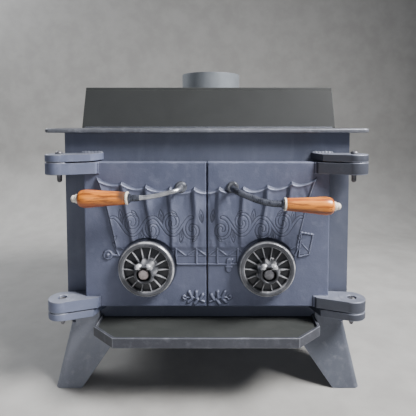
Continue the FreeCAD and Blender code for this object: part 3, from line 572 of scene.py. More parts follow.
def divided(path, step):
    """The same path with more points on its long runs."""
    dense = [path[0]]
    for a, b in zip(path, path[1:]):
        count = max(1, round((b - a).length / step))
        dense += [a.lerp(b, (k + 1) / count) for k in range(count)]
    return dense


def weld_bead(name, path, radius, material=WELD):
    """A run of weld along a joint, with its ripples."""
    dense = divided([Vector(p) for p in path], radius * 0.35)
    radii = []
    for k in range(len(dense)):
        ripple = 1 + 0.13 * math.sin(k * 1.15) + 0.06 * math.sin(k * 0.31)
        end = min(1.0, 0.35 + 0.25 * min(k, len(dense) - 1 - k))
        radii.append(radius * ripple * end)
    object_from(name, tube_mesh(name, dense, radii, 12, 60), "root", [material])


# ================= stage, light and camera =================
def stage():
    """A pale sweep of floor and wall."""
    near, far, high, curve = -3.0, 1.6, 3.0, 0.5
    section = [(near, 0.0)]
    for k in range(13):
        turn = math.pi / 2 * k / 12
        section.append((far - curve + curve * math.sin(turn), curve - curve * math.cos(turn)))
    section.append((far, high))
    vertices = [(x, y, z) for y, z in section for x in (-4.0, 4.0)]
    faces = [(k, k + 1, k + 3, k + 2) for k in range(0, len(vertices) - 2, 2)]
    mesh = mesh_from("sweep", vertices, faces, 60)
    g = Graph("pale_floor")
    speckle = g.noise(9.0, 6.0, 0.6)
    colour = g.blend(g.spread(speckle, 0.3, 0.7), (0.34, 0.335, 0.325), (0.4, 0.395, 0.385))
    mesh.materials.append(g.finish(colour, g.spread(speckle, 0.3, 0.7, 0.75, 0.9)))
    placed("sweep", mesh)


def area_light(name, place, target, size, power, tint, spread=180):
    lamp = bpy.data.lights.new(name, "AREA")
    lamp.shape = "RECTANGLE"
    lamp.spread = math.radians(spread)
    lamp.size, lamp.size_y = size
    lamp.energy = power
    lamp.color = tint
    made = placed(name, lamp)
    made.location = place
    made.rotation_euler = (Vector(target) - Vector(place)).to_track_quat("-Z", "Y").to_euler()


def light():
    """Lamps high on the right and behind on the left, with weaker ones in front and overhead."""
    cool = (0.95, 0.97, 1.0)
    area_light("key", (2.2, -1.3, 2.9), (0, -0.25, 0.4), (1.4, 1.2), 68, (1.0, 0.985, 0.97), 75)
    area_light("fill", (-0.3, -2.8, 0.8), (0, 0, 0.3), (1.6, 1.0), 6.5, (0.92, 0.95, 1.0))
    area_light("overhead", (0.0, 0.7, 2.9), (0, 0.3, 0), (2.4, 1.2), 12, cool)
    area_light("behind", (-2.2, 1.3, 2.2), (0, 0.1, 0.4), (1.2, 1.2), 70, cool)
    world = bpy.data.worlds.new("studio")
    world.use_nodes = True
    background = world.node_tree.nodes["Background"].inputs
    background["Color"].default_value = (0.78, 0.82, 0.9, 1)
    background["Strength"].default_value = 0.13
    bpy.context.scene.world = world


def camera():
    lens = bpy.data.cameras.new("camera")
    lens.lens = CAMERA_LENS
    lens.sensor_width = 36
    lens.shift_x, lens.shift_y = CAMERA_SHIFT
    made = placed("camera", lens)
    made.location = (CAMERA_X, FRONT_Y - CAMERA_DISTANCE, CAMERA_HEIGHT)
    made.rotation_euler = (math.radians(90 - CAMERA_PITCH), 0, 0)
    bpy.context.scene.camera = made


# ================= plates, legs and lining =================
def body_plates():
    for node in ("left_side_plate", "right_side_plate", "back_plate", "floor_plate", "front_plate"):
        finished(node, "root", BODY_STEEL)
    for node in ("step_riser", "upper_top_plate"):
        finished(node, "root", TOP_STEEL, edge=SHELF_STEEL)
    lower_top = finished("lower_top_plate", "root", TOP_STEEL, 0.4 * MM)
    # painted highlight as well as wear: every face of the lower top plate that is not flat, its front edge
    # among them, takes the lighter worn edge steel
    for face in lower_top.data.polygons:
        face.material_index = int(abs(face.normal.z) < 0.97)
    finished("ash_shelf_plate", "root", SHELF_STEEL)
    finished("ash_shelf_rim", "root", RIM_STEEL, 1.5 * MM)
    finished("flue_collar", "root", COLLAR_STEEL, 0.8 * MM)
    for side in SIDES:
        for at in ("front", "rear"):
            # painted light and shade: the left legs take the lighter copy of the leg steel, the right legs
            # the darker one
            steel = LIT_LEG_STEEL if side == "left" else SHADED_LEG_STEEL
            finished(f"{side}_{at}_leg", "root", steel, 1.6 * MM)
    paint("hinge_washers", PIN_STEEL)
    paint("latch_keepers", INNER_STEEL)
    finished("brick_retainers", "root", INNER_STEEL, 0.8 * MM, INNER_STEEL)
    for node in ("floor_firebricks", "left_firebricks", "right_firebricks", "rear_firebricks"):
        finished(node, "root", BRICK, 2.2 * MM, BRICK)


LEG_TAB_TOP = 196 * MM
LEG_TAB_ENDS = (281 * MM, 330 * MM)


def welds():
    """Beads at the collar, the riser's foot, the back corners and the legs."""
    low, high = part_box("flue_collar")
    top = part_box("upper_top_plate")[1].z
    ring = []
    for k in range(73):
        turn = Vector((math.cos(math.pi / 36 * k), math.sin(math.pi / 36 * k), 0))
        ring.append(Vector((0, (low.y + high.y) / 2, top + 0.6 * MM)) + turn * (high.x - low.x) / 2)
    weld_bead("collar_weld", ring, 3.0 * MM)
    (_, _, bottom), (half, back_y, _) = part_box("back_plate")
    foot_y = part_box("step_riser")[0].y - 0.6 * MM
    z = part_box("lower_top_plate")[1].z + 0.6 * MM
    weld_bead("riser_weld", [(-half, foot_y, z), (half, foot_y, z)], 2.6 * MM)
    for side, sign in SIDES.items():
        run = [(sign * half, back_y, z) for z in (bottom + 4 * MM, top - 14 * MM)]
        weld_bead(side + "_back_corner_weld", run, 2.6 * MM)
        for at, y in (("front", FRONT_Y - 1.8 * MM), ("rear", back_y + 1.8 * MM)):
            run = [(sign * x, y, LEG_TAB_TOP + 1.0 * MM) for x in LEG_TAB_ENDS]
            weld_bead(f"{side}_{at}_leg_weld", run, 3.0 * MM)


# ================= cast doors =================
def value_noise(x, z, cell, seed):
    """Smooth random values between -1 and 1 on a lattice of the given cell."""
    lattice = np.random.default_rng(seed).uniform(-1, 1, (256, 256))
    u, w = x / cell + 64, z / cell + 7
    i, j = np.floor(u).astype(int), np.floor(w).astype(int)
    fu, fw = u - i, w - j
    fu, fw = fu * fu * (3 - 2 * fu), fw * fw * (3 - 2 * fw)
    i, j = i % 255, j % 255
    low = lattice[i, j] * (1 - fu) + lattice[i + 1, j] * fu
    high = lattice[i, j + 1] * (1 - fu) + lattice[i + 1, j + 1] * fu
    return low * (1 - fw) + high * fw


def smooth(value, low, high):
    t = np.clip((value - low) / (high - low), 0, 1)
    return t * t * (3 - 2 * t)


def distance_to(x, z, line):
    """Distance from each point to an open polyline."""
    nearest = np.full(x.shape, 1e9)
    line = np.asarray(line, float)
    for (ax, az), (bx, bz) in zip(line, line[1:]):
        dx, dz = bx - ax, bz - az
        t = np.clip(((x - ax) * dx + (z - az) * dz) / (dx * dx + dz * dz), 0, 1)
        nearest = np.minimum(nearest, np.hypot(x - ax - t * dx, z - az - t * dz))
    return nearest


def ridge(distance, half_width, height, soft=1.3):
    return height * (1 - smooth(distance, half_width - soft / 2, half_width + soft / 2))


def raised(x, z, ribs):
    """Height of ribs, each given as its line, half width, height and, if need be, softness."""
    height = np.zeros_like(x)
    for line, *shape in ribs:
        height = np.maximum(height, ridge(distance_to(x, z, line), *shape))
    return height


# the raised wagon cover, in millimetres from the seam and above the door's lower edge
RIB_FIRST = 31.0
RIB_STEP = 60.75
RIBS = 5
COVER_EDGE_U = RIB_FIRST + RIB_STEP * (RIBS - 1)
COVER_CORNER_Z = 329.5
COVER_BOTTOM = 143.0
COVER_BOTTOM_X = 226.0
PEAK_SEAM_Z = 304.0
SCALLOP = 11.0
FOLD_RISE = {"left": 8.8, "right": 6.6}


def unleaned(x, z):
    """Where a point would be if the cover did not narrow towards its foot."""
    lean = COVER_EDGE_U / COVER_BOTTOM_X - 1
    down = (COVER_CORNER_Z - z) / (COVER_CORNER_Z - COVER_BOTTOM)
    return x * (1 + lean * down * x / COVER_BOTTOM_X)


def peak_height(u):
    share = np.clip((u - RIB_FIRST) / (COVER_EDGE_U - RIB_FIRST), 0, 1)
    return PEAK_SEAM_Z + (COVER_CORNER_Z - PEAK_SEAM_Z) * share**2.2


def cover_top(u):
    """Height of the cover's scalloped upper edge."""
    bay = np.clip((u - RIB_FIRST) / RIB_STEP, -1, RIBS - 1 - 1e-6)
    k = np.floor(bay)
    t = bay - k
    near = peak_height(RIB_FIRST + k * RIB_STEP)
    far = peak_height(RIB_FIRST + (k + 1) * RIB_STEP)
    return near + (far - near) * t - SCALLOP * (4 * t * (1 - t)) ** 0.8


def wagon_cover(x, z, side):
    """Draped cover on hoops: folds fall from each peak, steep on one flank and easy on the other."""
    sign = SIDES[side]
    u = unleaned(x, z)
    below_top = cover_top(u) - z
    inside = np.minimum(np.minimum(below_top, (COVER_EDGE_U - u) * 0.9), (z - COVER_BOTTOM) * 0.45)
    folds = np.zeros_like(x)
    sway = 2.0 * np.sin(z / 33 + x / 60)
    for k in range(-1, RIBS):
        off = (u + sway * smooth(below_top, 4, 40) - RIB_FIRST - RIB_STEP * k) * sign
        crest = np.exp(-((off / 6.0) ** 2))
        easy = np.exp(-np.clip(np.abs(off) - 2.5, 0, None) / 19)
        folds = np.maximum(folds, np.where(off < 0, crest, easy))
    fall = 0.4 + 0.4 * smooth(z, 140, 215) + 0.2 * smooth(z, 215, 300)
    creases = value_noise(x + 6 * np.sin(z / 23), z * 0.16, 9.0, 11) * 0.75
    puckers = value_noise(x, z, 6.0, 19) * 0.35 * smooth(-z, -215, -150)
    height = 1.8 + FOLD_RISE[side] * folds * fall + creases + puckers
    height += 2.3 * np.exp(-(((below_top - 5.0) / 4.6) ** 2))
    height += 1.4 * np.exp(-((((COVER_EDGE_U - u) - 3.0) / 2.4) ** 2))
    return height * smooth(inside, -0.5, 5.5), inside


def spiral(cx, cz, radius, turns, start, sense=1, narrow=1.0):
    """Points of a volute that winds in to its eye, and may be narrower than it is tall."""
    steps = np.linspace(0, 1, 34)
    reach = radius * (1 - 0.82 * steps)
    turn = start + sense * turns * 2 * np.pi * steps
    return np.stack([cx + narrow * reach * np.cos(turn), cz + reach * np.sin(turn)], 1)


def leaf(x0, z0, angle, length, width):
    """Closed outline of a pointed leaf."""
    t = np.linspace(0, 1, 12)
    bulge = width * np.sin(np.pi * t) ** 0.8
    along = np.concatenate([t, t[::-1]]) * length
    across = np.concatenate([bulge, -bulge[::-1]])
    c, s = math.cos(angle), math.sin(angle)
    return np.stack([x0 + along * c - across * s, z0 + along * s + across * c], 1)


SCROLL_MIDDLE = 206.0
SCROLL_PITCH = 50.0
SCROLLS = 4
VOLUTE = 31
RIBBON_HALF = 3.6


def scroll_lines():
    """Tall running volutes and the stems that link them, cut into the cover as outlined ribbons."""
    lines = []
    for k in range(SCROLLS):
        x = 36 + k * SCROLL_PITCH
        sense = 1 if k % 2 else -1
        lines.append(spiral(x, SCROLL_MIDDLE + sense * 9, VOLUTE, 1.3, -sense * math.pi / 2, sense, 0.8))
        link = np.linspace(0, 1, 14)
        rise = sense * (9 * (1 - 2 * link) - VOLUTE * np.cos(math.pi * link))
        lines.append(np.stack([x + SCROLL_PITCH * link, SCROLL_MIDDLE + rise], 1))
    return lines


def leaf_lines():
    """Leaves with a vein between the volutes, and a smaller leaf on each stem."""
    lines = []
    for k in range(SCROLLS + 1):
        x = 14 + k * SCROLL_PITCH
        sense = -1 if k % 2 else 1
        for length, width in ((34, 5.2), (22, 1.6)):
            lines.append(leaf(x - 2, SCROLL_MIDDLE + sense * 8, sense * 1.45, length, width))
        lines.append(leaf(x + 10, SCROLL_MIDDLE - sense * 24, -sense * 0.9, 20, 3.8))
    return lines


SPRIG_LEAVES = (
    ((17, 19), (11, 31)), ((27, 23), (27, 38)), ((38, 24), (45, 38)), ((23, 19), (31, 9)),
    ((37, 22), (47, 13)),
)


def sprig(x, z):
    """A raised leafy sprig beside the seam, low on the door."""
    run = np.linspace(0, 1, 14)
    stem = np.stack([7 + 44 * run, 13 + 12 * np.sin(run * math.pi * 0.62)], 1)
    ribs = [(line, 2.0, 3.4, 3.0) for line in (stem, spiral(56, 26, 6.5, 0.8, math.pi * 1.3))]
    return raised(x, z, ribs + [(ends, 3.4, 4.4, 4.4) for ends in SPRIG_LEAVES])


BED_RAILS = (131.0, 109.0)
BED_POSTS = (26.0, 77.0)
HIDDEN_POSTS = (128.0, 178.0)
POST_TOP = 149.0
BRACE = 22


def wagon_bed(x, z):
    """Rails, posts and fanned braces of the wagon's bed."""
    high, low = BED_RAILS
    strong = [[(0, low), (BED_POSTS[1] + 3, low)]]
    strong += [[(post, low), (post, POST_TOP)] for post in BED_POSTS]
    ribs = [(line, 2.4, 3.0) for line in strong]
    ribs += [([(0, high), (COVER_BOTTOM_X - 2, high)], 1.2, 0.9)]
    for post in (*BED_POSTS, *HIDDEN_POSTS):
        ribs += [([(post, POST_TOP), (post + way * BRACE, high + 1)], 1.7, 1.9) for way in (-1, 1)]
    return raised(x, z, ribs)


STRAP = ([(233, 161), (219, 130)], [(219, 130), (205, 137)], [(233, 161), (205, 146)])
TOOL_BOX = [(235, 189), (264, 184), (254, 134), (229, 128), (235, 189)]
LANTERN = (
    ([(55, 117), (54, 95)], 6.5, 3.4, 3.0), ([(48, 103), (62, 103)], 2.4, 4.6, 3.0),
    ([(57, 116), (63, 121)], 2.6, 4.8, 3.0),
)


def side_details(x, z, side):
    """A round boss on the left door, and a tool box and a lantern on the right one."""
    ribs = [(line, 1.9, 2.6) for line in STRAP]
    if side == "left":
        away = np.hypot(x - 247, z - 133)
        disc = ridge(away, 12, 2.4, 2.5) + 0.9 * np.exp(-(((away - 10) / 1.6) ** 2))
        ball = 6.0 * np.sqrt(np.clip(1 - (away / 5.5) ** 2, 0, 1))
        arm = ([(236, 133), (222, 131)], 3, 2.4, 2)
        return np.maximum(raised(x, z, [*ribs, arm]), np.maximum(disc, ball))
    ribs += [(TOOL_BOX, 1.9, 3.2), ([(236, 162), (256, 140)], 1.2, 2.4), *LANTERN]
    lean = (z - 128) * 0.12
    filled = (x > 231 + lean) & (x < 252 + lean * 1.4) & (z > 133) & (z < 184)
    return np.maximum(raised(x, z, ribs), 1.3 * filled)


LUG_FILLET = 3.0
LUG_ROOT_X = 267


def lug_fillets(x, z, tall):
    """Fillets where the hinge lugs run out into the door's face."""
    height = np.zeros_like(x)
    for low, high in ((0.0, DOOR_LUG / MM), (tall - DOOR_LUG / MM, tall)):
        away = np.maximum(np.maximum(low - z, z - high), 0)
        away = np.maximum(away, LUG_ROOT_X - x)
        near = np.clip(1 - away / LUG_FILLET, 0, 1)
        height = np.maximum(height, LUG_FILLET * (1 - np.sqrt(np.clip(1 - near**2, 0, 1))))
    return height


def relief(x, z, side):
    """Height in millimetres of a door's face, x from the seam and z above its lower edge."""
    cover, inside = wagon_cover(x, z, side)
    bed = wagon_bed(x, z)
    height = np.maximum(cover, bed) + 0.6 * np.minimum(cover, bed)
    height = np.maximum(height, side_details(x, z, side))
    height = np.maximum(height, sprig(x, z))
    band = (np.abs(z - SCROLL_MIDDLE) < 52) & (inside > 4)
    near = np.full(x.shape, 1e9)
    for line in scroll_lines():
        near[band] = np.minimum(near[band], distance_to(x[band], z[band], line))
    near[band] = np.abs(near[band] - RIBBON_HALF)
    for line in leaf_lines():
        near[band] = np.minimum(near[band], distance_to(x[band], z[band], line))
    groove = np.exp(-((near / 1.15) ** 2)) * band
    height -= 1.0 * groove
    from_wheel = np.hypot(x - WHEEL_X / MM, z - (WHEEL_Z - DOOR_BOTTOM) / MM)
    height *= smooth(from_wheel, WHEEL_RADIUS + 1.5, WHEEL_RADIUS + 5.5)
    height -= 1.4 * (1 - smooth(from_wheel, WHEEL_RADIUS + 1.5, WHEEL_RADIUS + 3.5))
    height = np.maximum(height, lug_fillets(x, z, (DOOR_TOP - DOOR_BOTTOM) / MM))
    height += value_noise(x, z, 2.6, 3) * 0.09 + value_noise(x, z, 28, 5) * 0.22
    # painted shadow, with some soot: a dark ring on the door's face just outside the wheel
    soot = 1 - smooth(from_wheel, WHEEL_RADIUS + 2, WHEEL_RADIUS + 6)
    return height, np.maximum(groove * smooth(from_wheel, WHEEL_RADIUS, WHEEL_RADIUS + 4), soot)


def spaced(low, high):
    """Grid lines that are even inside and closer along both edges."""
    edge = CAST_EDGE / MM * np.array([0, 0.04, 0.13, 0.3, 0.55, 0.85, 1.25])
    count = int((high - low - 2 * edge[-1]) / (CAST_STEP / MM))
    middle = np.linspace(low + edge[-1], high - edge[-1], count + 1)
    return np.concatenate([low + edge[:-1], middle, high - edge[:-1][::-1]])


PORT_INNER = 20 * MM
PORT_OUTER = 42 * MM
PORT_RIB = 12 * MM


def cut_ports(door, side):
    """Opens the four air ports round the draft stud, between crossed ribs."""
    shells = []
    for k in range(4):
        outline = []
        for radius, way in ((PORT_OUTER, 1), (PORT_INNER, -1)):
            swing = math.pi / 4 - math.asin(PORT_RIB / 2 / radius)
            turns = np.linspace(-swing, swing, 24) * way + math.pi / 2 * k
            outline += [(radius * math.cos(turn), radius * math.sin(turn)) for turn in turns]
        shells.append((*prism(outline, -DOOR_WALL * 2, DOOR_WALL), Matrix()))
    cutter = placed("port_cutter", merge(shells, "port_cutter"))
    cutter.matrix_world = on_door(side, WHEEL_X, WHEEL_Z)
    cut = door.modifiers.new("ports", "BOOLEAN")
    cut.operation = "DIFFERENCE"
    cut.solver = "MANIFOLD"
    cut.object = cutter
    apply_modifiers(door)
    bpy.data.objects.remove(cutter)


def cast_door(side):
    """The door as a closed casting: a worked face, square sides, a rim and a recessed back."""
    sign = SIDES[side]
    x_low, x_high, z_high = SEAM_GAP / MM, DOOR_EDGE_X / MM, (DOOR_TOP - DOOR_BOTTOM) / MM
    x, z = np.meshgrid(spaced(x_low, x_high), spaced(0.0, z_high), indexing="ij")
    # the second value marks the cut grooves, and the painted shadow ring round the wheel
    height, groove = relief(x, z, side)
    edge = CAST_EDGE / MM
    depth = np.minimum(np.minimum(x - x_low, x_high - x), np.minimum(z, z_high - z))
    round_off = edge - np.sqrt(np.clip(edge**2 - np.clip(edge - depth, 0, None) ** 2, 0, None))
    face = np.stack([sign * x, DOOR_FACE / MM - height + round_off, z], -1)
    number = np.arange(x.size).reshape(x.shape)
    quads = np.stack([number[:-1, :-1], number[1:, :-1], number[1:, 1:], number[:-1, 1:]], -1)
    loop = np.concatenate([number[:-1, 0], number[-1, :-1], number[:0:-1, -1], number[0, :0:-1]])
    lx, lz = x.reshape(-1)[loop], z.reshape(-1)[loop]

    rim, wall, back = DOOR_RIM / MM, (DOOR_FACE + DOOR_WALL) / MM, DOOR_BACK / MM
    steps = [(0, back - 1.2), (0.4, back - 0.4), (1.2, back), (rim - 1.2, back), (rim - 0.4, back - 0.4)]
    steps += [(rim, back - 1.2), (rim + 1.0, wall + 4), (rim + 2.2, wall + 1.2), (rim + 5, wall)]
    vertices = [face.reshape(-1, 3)]
    faces = [quads.reshape(-1, 4)]
    previous = loop
    for k, (inset, level) in enumerate(steps):
        inset_x = x_low + inset + (lx - x_low) * (1 - 2 * inset / (x_high - x_low))
        inset_z = inset + lz * (1 - 2 * inset / z_high)
        vertices.append(np.stack([sign * inset_x, np.full_like(lx, level), inset_z], -1))
        ring = x.size + k * len(loop) + np.arange(len(loop))
        faces.append(np.stack([previous, ring, np.roll(ring, -1), np.roll(previous, -1)], -1))
        previous = ring
    points = np.concatenate(vertices) * MM + np.array([0, 0, DOOR_BOTTOM])
    mesh = mesh_from(side + "_door_cast", points, [*np.concatenate(faces), previous], 40)
    outwards(mesh)

    hill = height[1:-1, 1:-1]
    around = height[:-2, 1:-1] + height[2:, 1:-1] + height[1:-1, :-2] + height[1:-1, 2:]
    crest = np.pad(4 * hill - around, 1)
    # painted highlight: the top edge is marked much lighter than the other edges, for the light falling on
    # it from above
    top_edge_highlight = np.clip(1 - (z_high - z) / (edge * 0.9), 0, 1) * 0.4
    corner = np.maximum(top_edge_highlight, np.clip(1 - depth / (edge * 0.6), 0, 1) * 0.12)
    wear_and_highlight = np.clip(crest * 0.4 - 0.1, 0, 0.35) + corner + 0.16 * smooth(height, 2.5, 7.0)
    # painted shade: where the face curves in, in creases, it is marked dark; the same mark is darker along
    # the cut grooves and, as painted shadow, in a ring round the wheel
    grime_and_shade = np.clip(-crest * 1.1 - 0.1, 0, 0.7) + 0.75 * groove
    for name, marks in (("wear_and_highlight", wear_and_highlight), ("grime_and_shade", grime_and_shade)):
        behind = len(points) - x.size
        set_attribute(mesh, name, np.pad(np.clip(marks, 0, 1).reshape(-1), (0, behind)))
    front_faces = quads.size // 4 + 4 * len(loop)
    sooty = np.arange(len(mesh.polygons)) >= front_faces
    mesh.polygons.foreach_set("material_index", sooty.astype(np.int32))
    made = object_from(mesh.name, mesh, side + "_door", [DOOR_IRON, SOOTY_IRON])
    cut_ports(made, side)
    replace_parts(made, side + "_door")


# ================= hinges =================
EYE_RADIUS = 33 * MM
ARM_INSET = 0.4 * MM
DOOR_ARM = [(273, -48), (LUG_ROOT_X, -35), (292, -31), (300, -8), (306, -8)]
BODY_ARM = [(283, -50), (265, 0), (338, 0)]
LUG_WELD_ENDS = (266 * MM, 322 * MM)
LUG_ROUND = 2.4 * MM
PIN_RADIUS = 6 * MM
BORE_RADIUS = 6.3 * MM
POCKET_RADIUS = 11 * MM
POCKET_DEPTH = 8 * MM
HEAD_RADIUS = 9 * MM


def tangent_point(centre, radius, point, turn):
    """Where a line from a point touches a circle, on the side that the turn's sign gives."""
    away = point - centre
    angle = math.atan2(away.y, away.x) + turn * math.acos(radius / away.length)
    return centre + Vector((math.cos(angle), math.sin(angle))) * radius


def lug(name, body, side, low, high, arm, slot, thinned, pocket=False):
    """A hinge lug: an eye with its bore, and a tapered arm a little thinner than the eye.

    The arm's plan runs from its shoulder through its roots to its heel, in millimetres from
    the middle of the stove and from the front plate.
    """
    eye = Vector((PIN_X, PIN_Y - FRONT_Y))
    plan = [Vector(point) * MM for point in arm]
    front = tangent_point(eye, EYE_RADIUS - ARM_INSET, plan[0], 1)
    rear = tangent_point(eye, EYE_RADIUS - ARM_INSET, plan[-1], -1)
    outline = [front, *plan, rear]
    start = math.atan2(rear.y - eye.y, rear.x - eye.x)
    end = math.atan2(front.y - eye.y, front.x - eye.x) + 2 * math.pi
    for k in range(13):
        turn = start + (end - start) * k / 12
        outline.append(eye + Vector((math.cos(turn), math.sin(turn))) * EYE_RADIUS * 0.66)
    ring = [(BORE_RADIUS, low), (EYE_RADIUS, low), (EYE_RADIUS, high)]
    if pocket:
        floor = high - POCKET_DEPTH
        ring += [(POCKET_RADIUS, high), (POCKET_RADIUS, floor), (BORE_RADIUS, floor)]
    else:
        ring += [(BORE_RADIUS, high)]
    place = Matrix.Translation((0, FRONT_Y, 0)) @ Matrix.Diagonal((SIDES[side], 1, 1, 1))
    shells = [
        (*prism(outline, low + thinned[0], high - thinned[1]), place),
        (*lathe(rounded(ring, LUG_ROUND), 72), place @ Matrix.Translation((*eye, 0))),
    ]
    # painted shade: the right lugs take the darker copy of the lug steel
    steels = [LUG_STEEL if side == "left" else SHADED_LUG_STEEL, LIT_LUG_EDGE]
    made = object_from(name, merge(shells, name, 30), body, steels)
    bevel(made, LUG_ROUND, 4, angle=14)
    # painted highlight: faces that look up, and the rounded edges, take the lighter steel
    for face in made.data.polygons:
        face.material_index = int(0.12 < abs(face.normal.z) < 0.97 or face.normal.z > 0.9)
    return made


def hinge_pin(side, at, seat, tip_radius):
    """A pin with a domed head on its seat and a rounded tip."""
    node = f"{side}_{at}_hinge_pin"
    low, high = (corner.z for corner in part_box(node))
    crown = (high - seat) * 0.72
    quarter = [math.pi / 12 * k for k in range(7)]
    profile = [(HEAD_RADIUS * math.sin(turn), high - crown * (1 - math.cos(turn))) for turn in quarter]
    profile += [(HEAD_RADIUS, seat), (PIN_RADIUS, seat), (PIN_RADIUS, low + PIN_RADIUS + 2 * MM)]
    profile += [(tip_radius * math.cos(turn), low + tip_radius * (1 - math.sin(turn))) for turn in quarter]
    place = Matrix.Translation((SIDES[side] * PIN_X, PIN_Y, 0))
    turned_node(node, profile, 40, place, "root", "pin_steel", PIN_STEEL)


def hinges(side):
    """The door's lugs, the body's lugs with their welds, and the two drop-in pins."""
    door = side + "_door"
    above, below = 2.2 * MM, 0.2 * MM
    span = (DOOR_TOP - DOOR_LUG, DOOR_TOP + above)
    lug(door + "_upper_lug", door, side, *span, DOOR_ARM, "door_iron", (0.6 * MM, above))
    span = (DOOR_BOTTOM - below, DOOR_BOTTOM + DOOR_LUG)
    lug(door + "_lower_lug", door, side, *span, DOOR_ARM, "door_iron", (below + 1.2 * MM, 0.6 * MM), True)
    for at in ("upper", "lower"):
        node = f"{side}_{at}_hinge_lug"
        low, high = (corner.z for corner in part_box(node))
        if at == "upper":
            thinned, bead = (0.8 * MM, 0.4 * MM), 4.4 * MM
            z = high - thinned[1]
        else:
            thinned, bead = (0.4 * MM, 0.9 * MM), 2.4 * MM
            z = low + thinned[0]
        made = lug(node + "_forged", "root", side, low, high, BODY_ARM, "lug_steel", thinned)
        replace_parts(made, node)
        run = [(SIDES[side] * x, FRONT_Y - 0.6 * MM, z) for x in LUG_WELD_ENDS]
        # the welds on the lugs take the lighter steel of the painted highlights
        weld_bead(f"{side}_{at}_lug_weld", run, bead, LIT_LUG_EDGE)
    hinge_pin(side, "upper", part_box(f"{side}_upper_hinge_lug")[1].z, PIN_RADIUS)
    hinge_pin(side, "lower", DOOR_BOTTOM + DOOR_LUG - POCKET_DEPTH + 1 * MM, 4.5 * MM)


# ================= handles =================
ELBOW_OUT = 44 * MM
GRIP_LENGTH = 111 * MM
GRIP_SECTIONS = (
    (0.0, 14.0), (0.04, 15.2), (0.3, 16.9), (0.6, 19.2), (0.82, 21.0), (0.93, 19.6), (0.98, 16.0),
    (1.0, 12.0),
)
FERRULE_LENGTH = 5 * MM
FERRULE_BORE = 4.5 * MM
FERRULE_RADIUS = 15.5 * MM
ROD_RADII = {"left": (5.6 * MM, 7.8 * MM), "right": (7.8 * MM, 8.0 * MM)}
ROD_STRAIGHT = 46 * MM
ROD_BENDS = (20 * MM, 34 * MM)
ROD_SWELLS = (-34 * MM, -20 * MM)
ROD_DARK = 27 * MM
ROD_TAPER_OUT = 12 * MM
ROD_TAPER = 20 * MM


def grip_radius(share):
    """The grip's radius at a share of its length, on a smooth curve through its sections."""
    shares, radii = zip(*GRIP_SECTIONS)
    k = next(k for k in range(len(shares) - 1) if share <= shares[k + 1] + 1e-9)
    t = (share - shares[k]) / (shares[k + 1] - shares[k])
    before, a, b, after = radii[max(k - 1, 0)], radii[k], radii[k + 1], radii[min(k + 2, len(radii) - 1)]
    square = (2 * before - 5 * a + 4 * b - after) * t**2
    cube = (3 * a - before - 3 * b + after) * t**3
    return 0.5 * (2 * a + (b - before) * t + square + cube) * MM


def handle_rod(side, start, straight):
    """The forged rod from its spindle in the door to the ferrule, where it is thick and dark."""
    node = side + "_handle_rod"
    thin, thick = ROD_RADII[side]
    pivot_x = SIDES[side] * HANDLE_X
    corners = [
        (pivot_x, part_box(node)[1].y, HANDLE_Z),
        (pivot_x, DOOR_FACE - ELBOW_OUT, HANDLE_Z),
        start - straight * ROD_STRAIGHT,
        start,
    ]
    path = divided(rounded_path(corners, ROD_BENDS), 4 * MM)
    around = 28
    radii = []
    dark = []
    for point in path:
        along = (start - point).dot(straight)
        out = DOOR_FACE - ROD_TAPER_OUT - point.y
        base = PIN_RADIUS + (thin - PIN_RADIUS) * min(1.0, max(0.0, out / ROD_TAPER))
        swell = smooth(-along, *ROD_SWELLS) if out >= 0 else 0
        radii.append(base + (thick - base) * swell)
        dark += [int(along <= ROD_DARK)] * around
    mesh = tube_mesh(node + "_forged", path, radii, around, 50)
    mesh.polygons.foreach_set("material_index", dark[:-around] + [1, 1])
    bright = POLISHED_STEEL if side == "left" else DARK_STEEL
    made = object_from(mesh.name, mesh, side + "_handle", [bright, DARK_STEEL])
    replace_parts(made, node)


def handle(side):
    """The bent rod, its ferrule, the turned grip and the knob on its end."""
    body = side + "_handle"
    ferrule, knob = (sum(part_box(body + end), Vector()) / 2 for end in ("_ferrule", "_end_knob"))
    straight = (knob - ferrule).normalized()
    start = ferrule - straight * FERRULE_LENGTH / 2
    handle_rod(side, start, straight)
    place = standing(straight, start)
    profile = in_metres([(0, -6), (9.0, -6), (11.0, -4.5), (11.0, 0.2), (0, 0.2)])
    turned(body + "_collar", profile, 48, place, body, "handle_steel", DARK_STEEL)
    profile = [(FERRULE_BORE, 0), (FERRULE_RADIUS, 0)]
    profile += [(FERRULE_RADIUS, FERRULE_LENGTH), (FERRULE_BORE, FERRULE_LENGTH)]
    turned_node(body + "_ferrule", rounded(profile, 1.4 * MM), 64, place, body, "trim_ceramic", CREAM)
    wooden_grip(side, place @ Matrix.Translation((0, 0, FERRULE_LENGTH)))
    crown, foot, rise = 8.5, 10.5, 6.4
    profile = [(0, 0), (11, 0), (11.2, 1.2), (11.0, 4.2), (9.6, 5.6), (8.2, 6.2), (8.6, 7.6), (crown, foot)]
    for k in range(1, 7):
        turn = math.pi / 12 * k
        profile.append((crown * math.cos(turn), foot + rise * math.sin(turn)))
    place = place @ Matrix.Translation((0, 0, FERRULE_LENGTH + GRIP_LENGTH))
    turned_node(body + "_end_knob", in_metres(profile), 48, place, body, "trim_ceramic", CREAM)


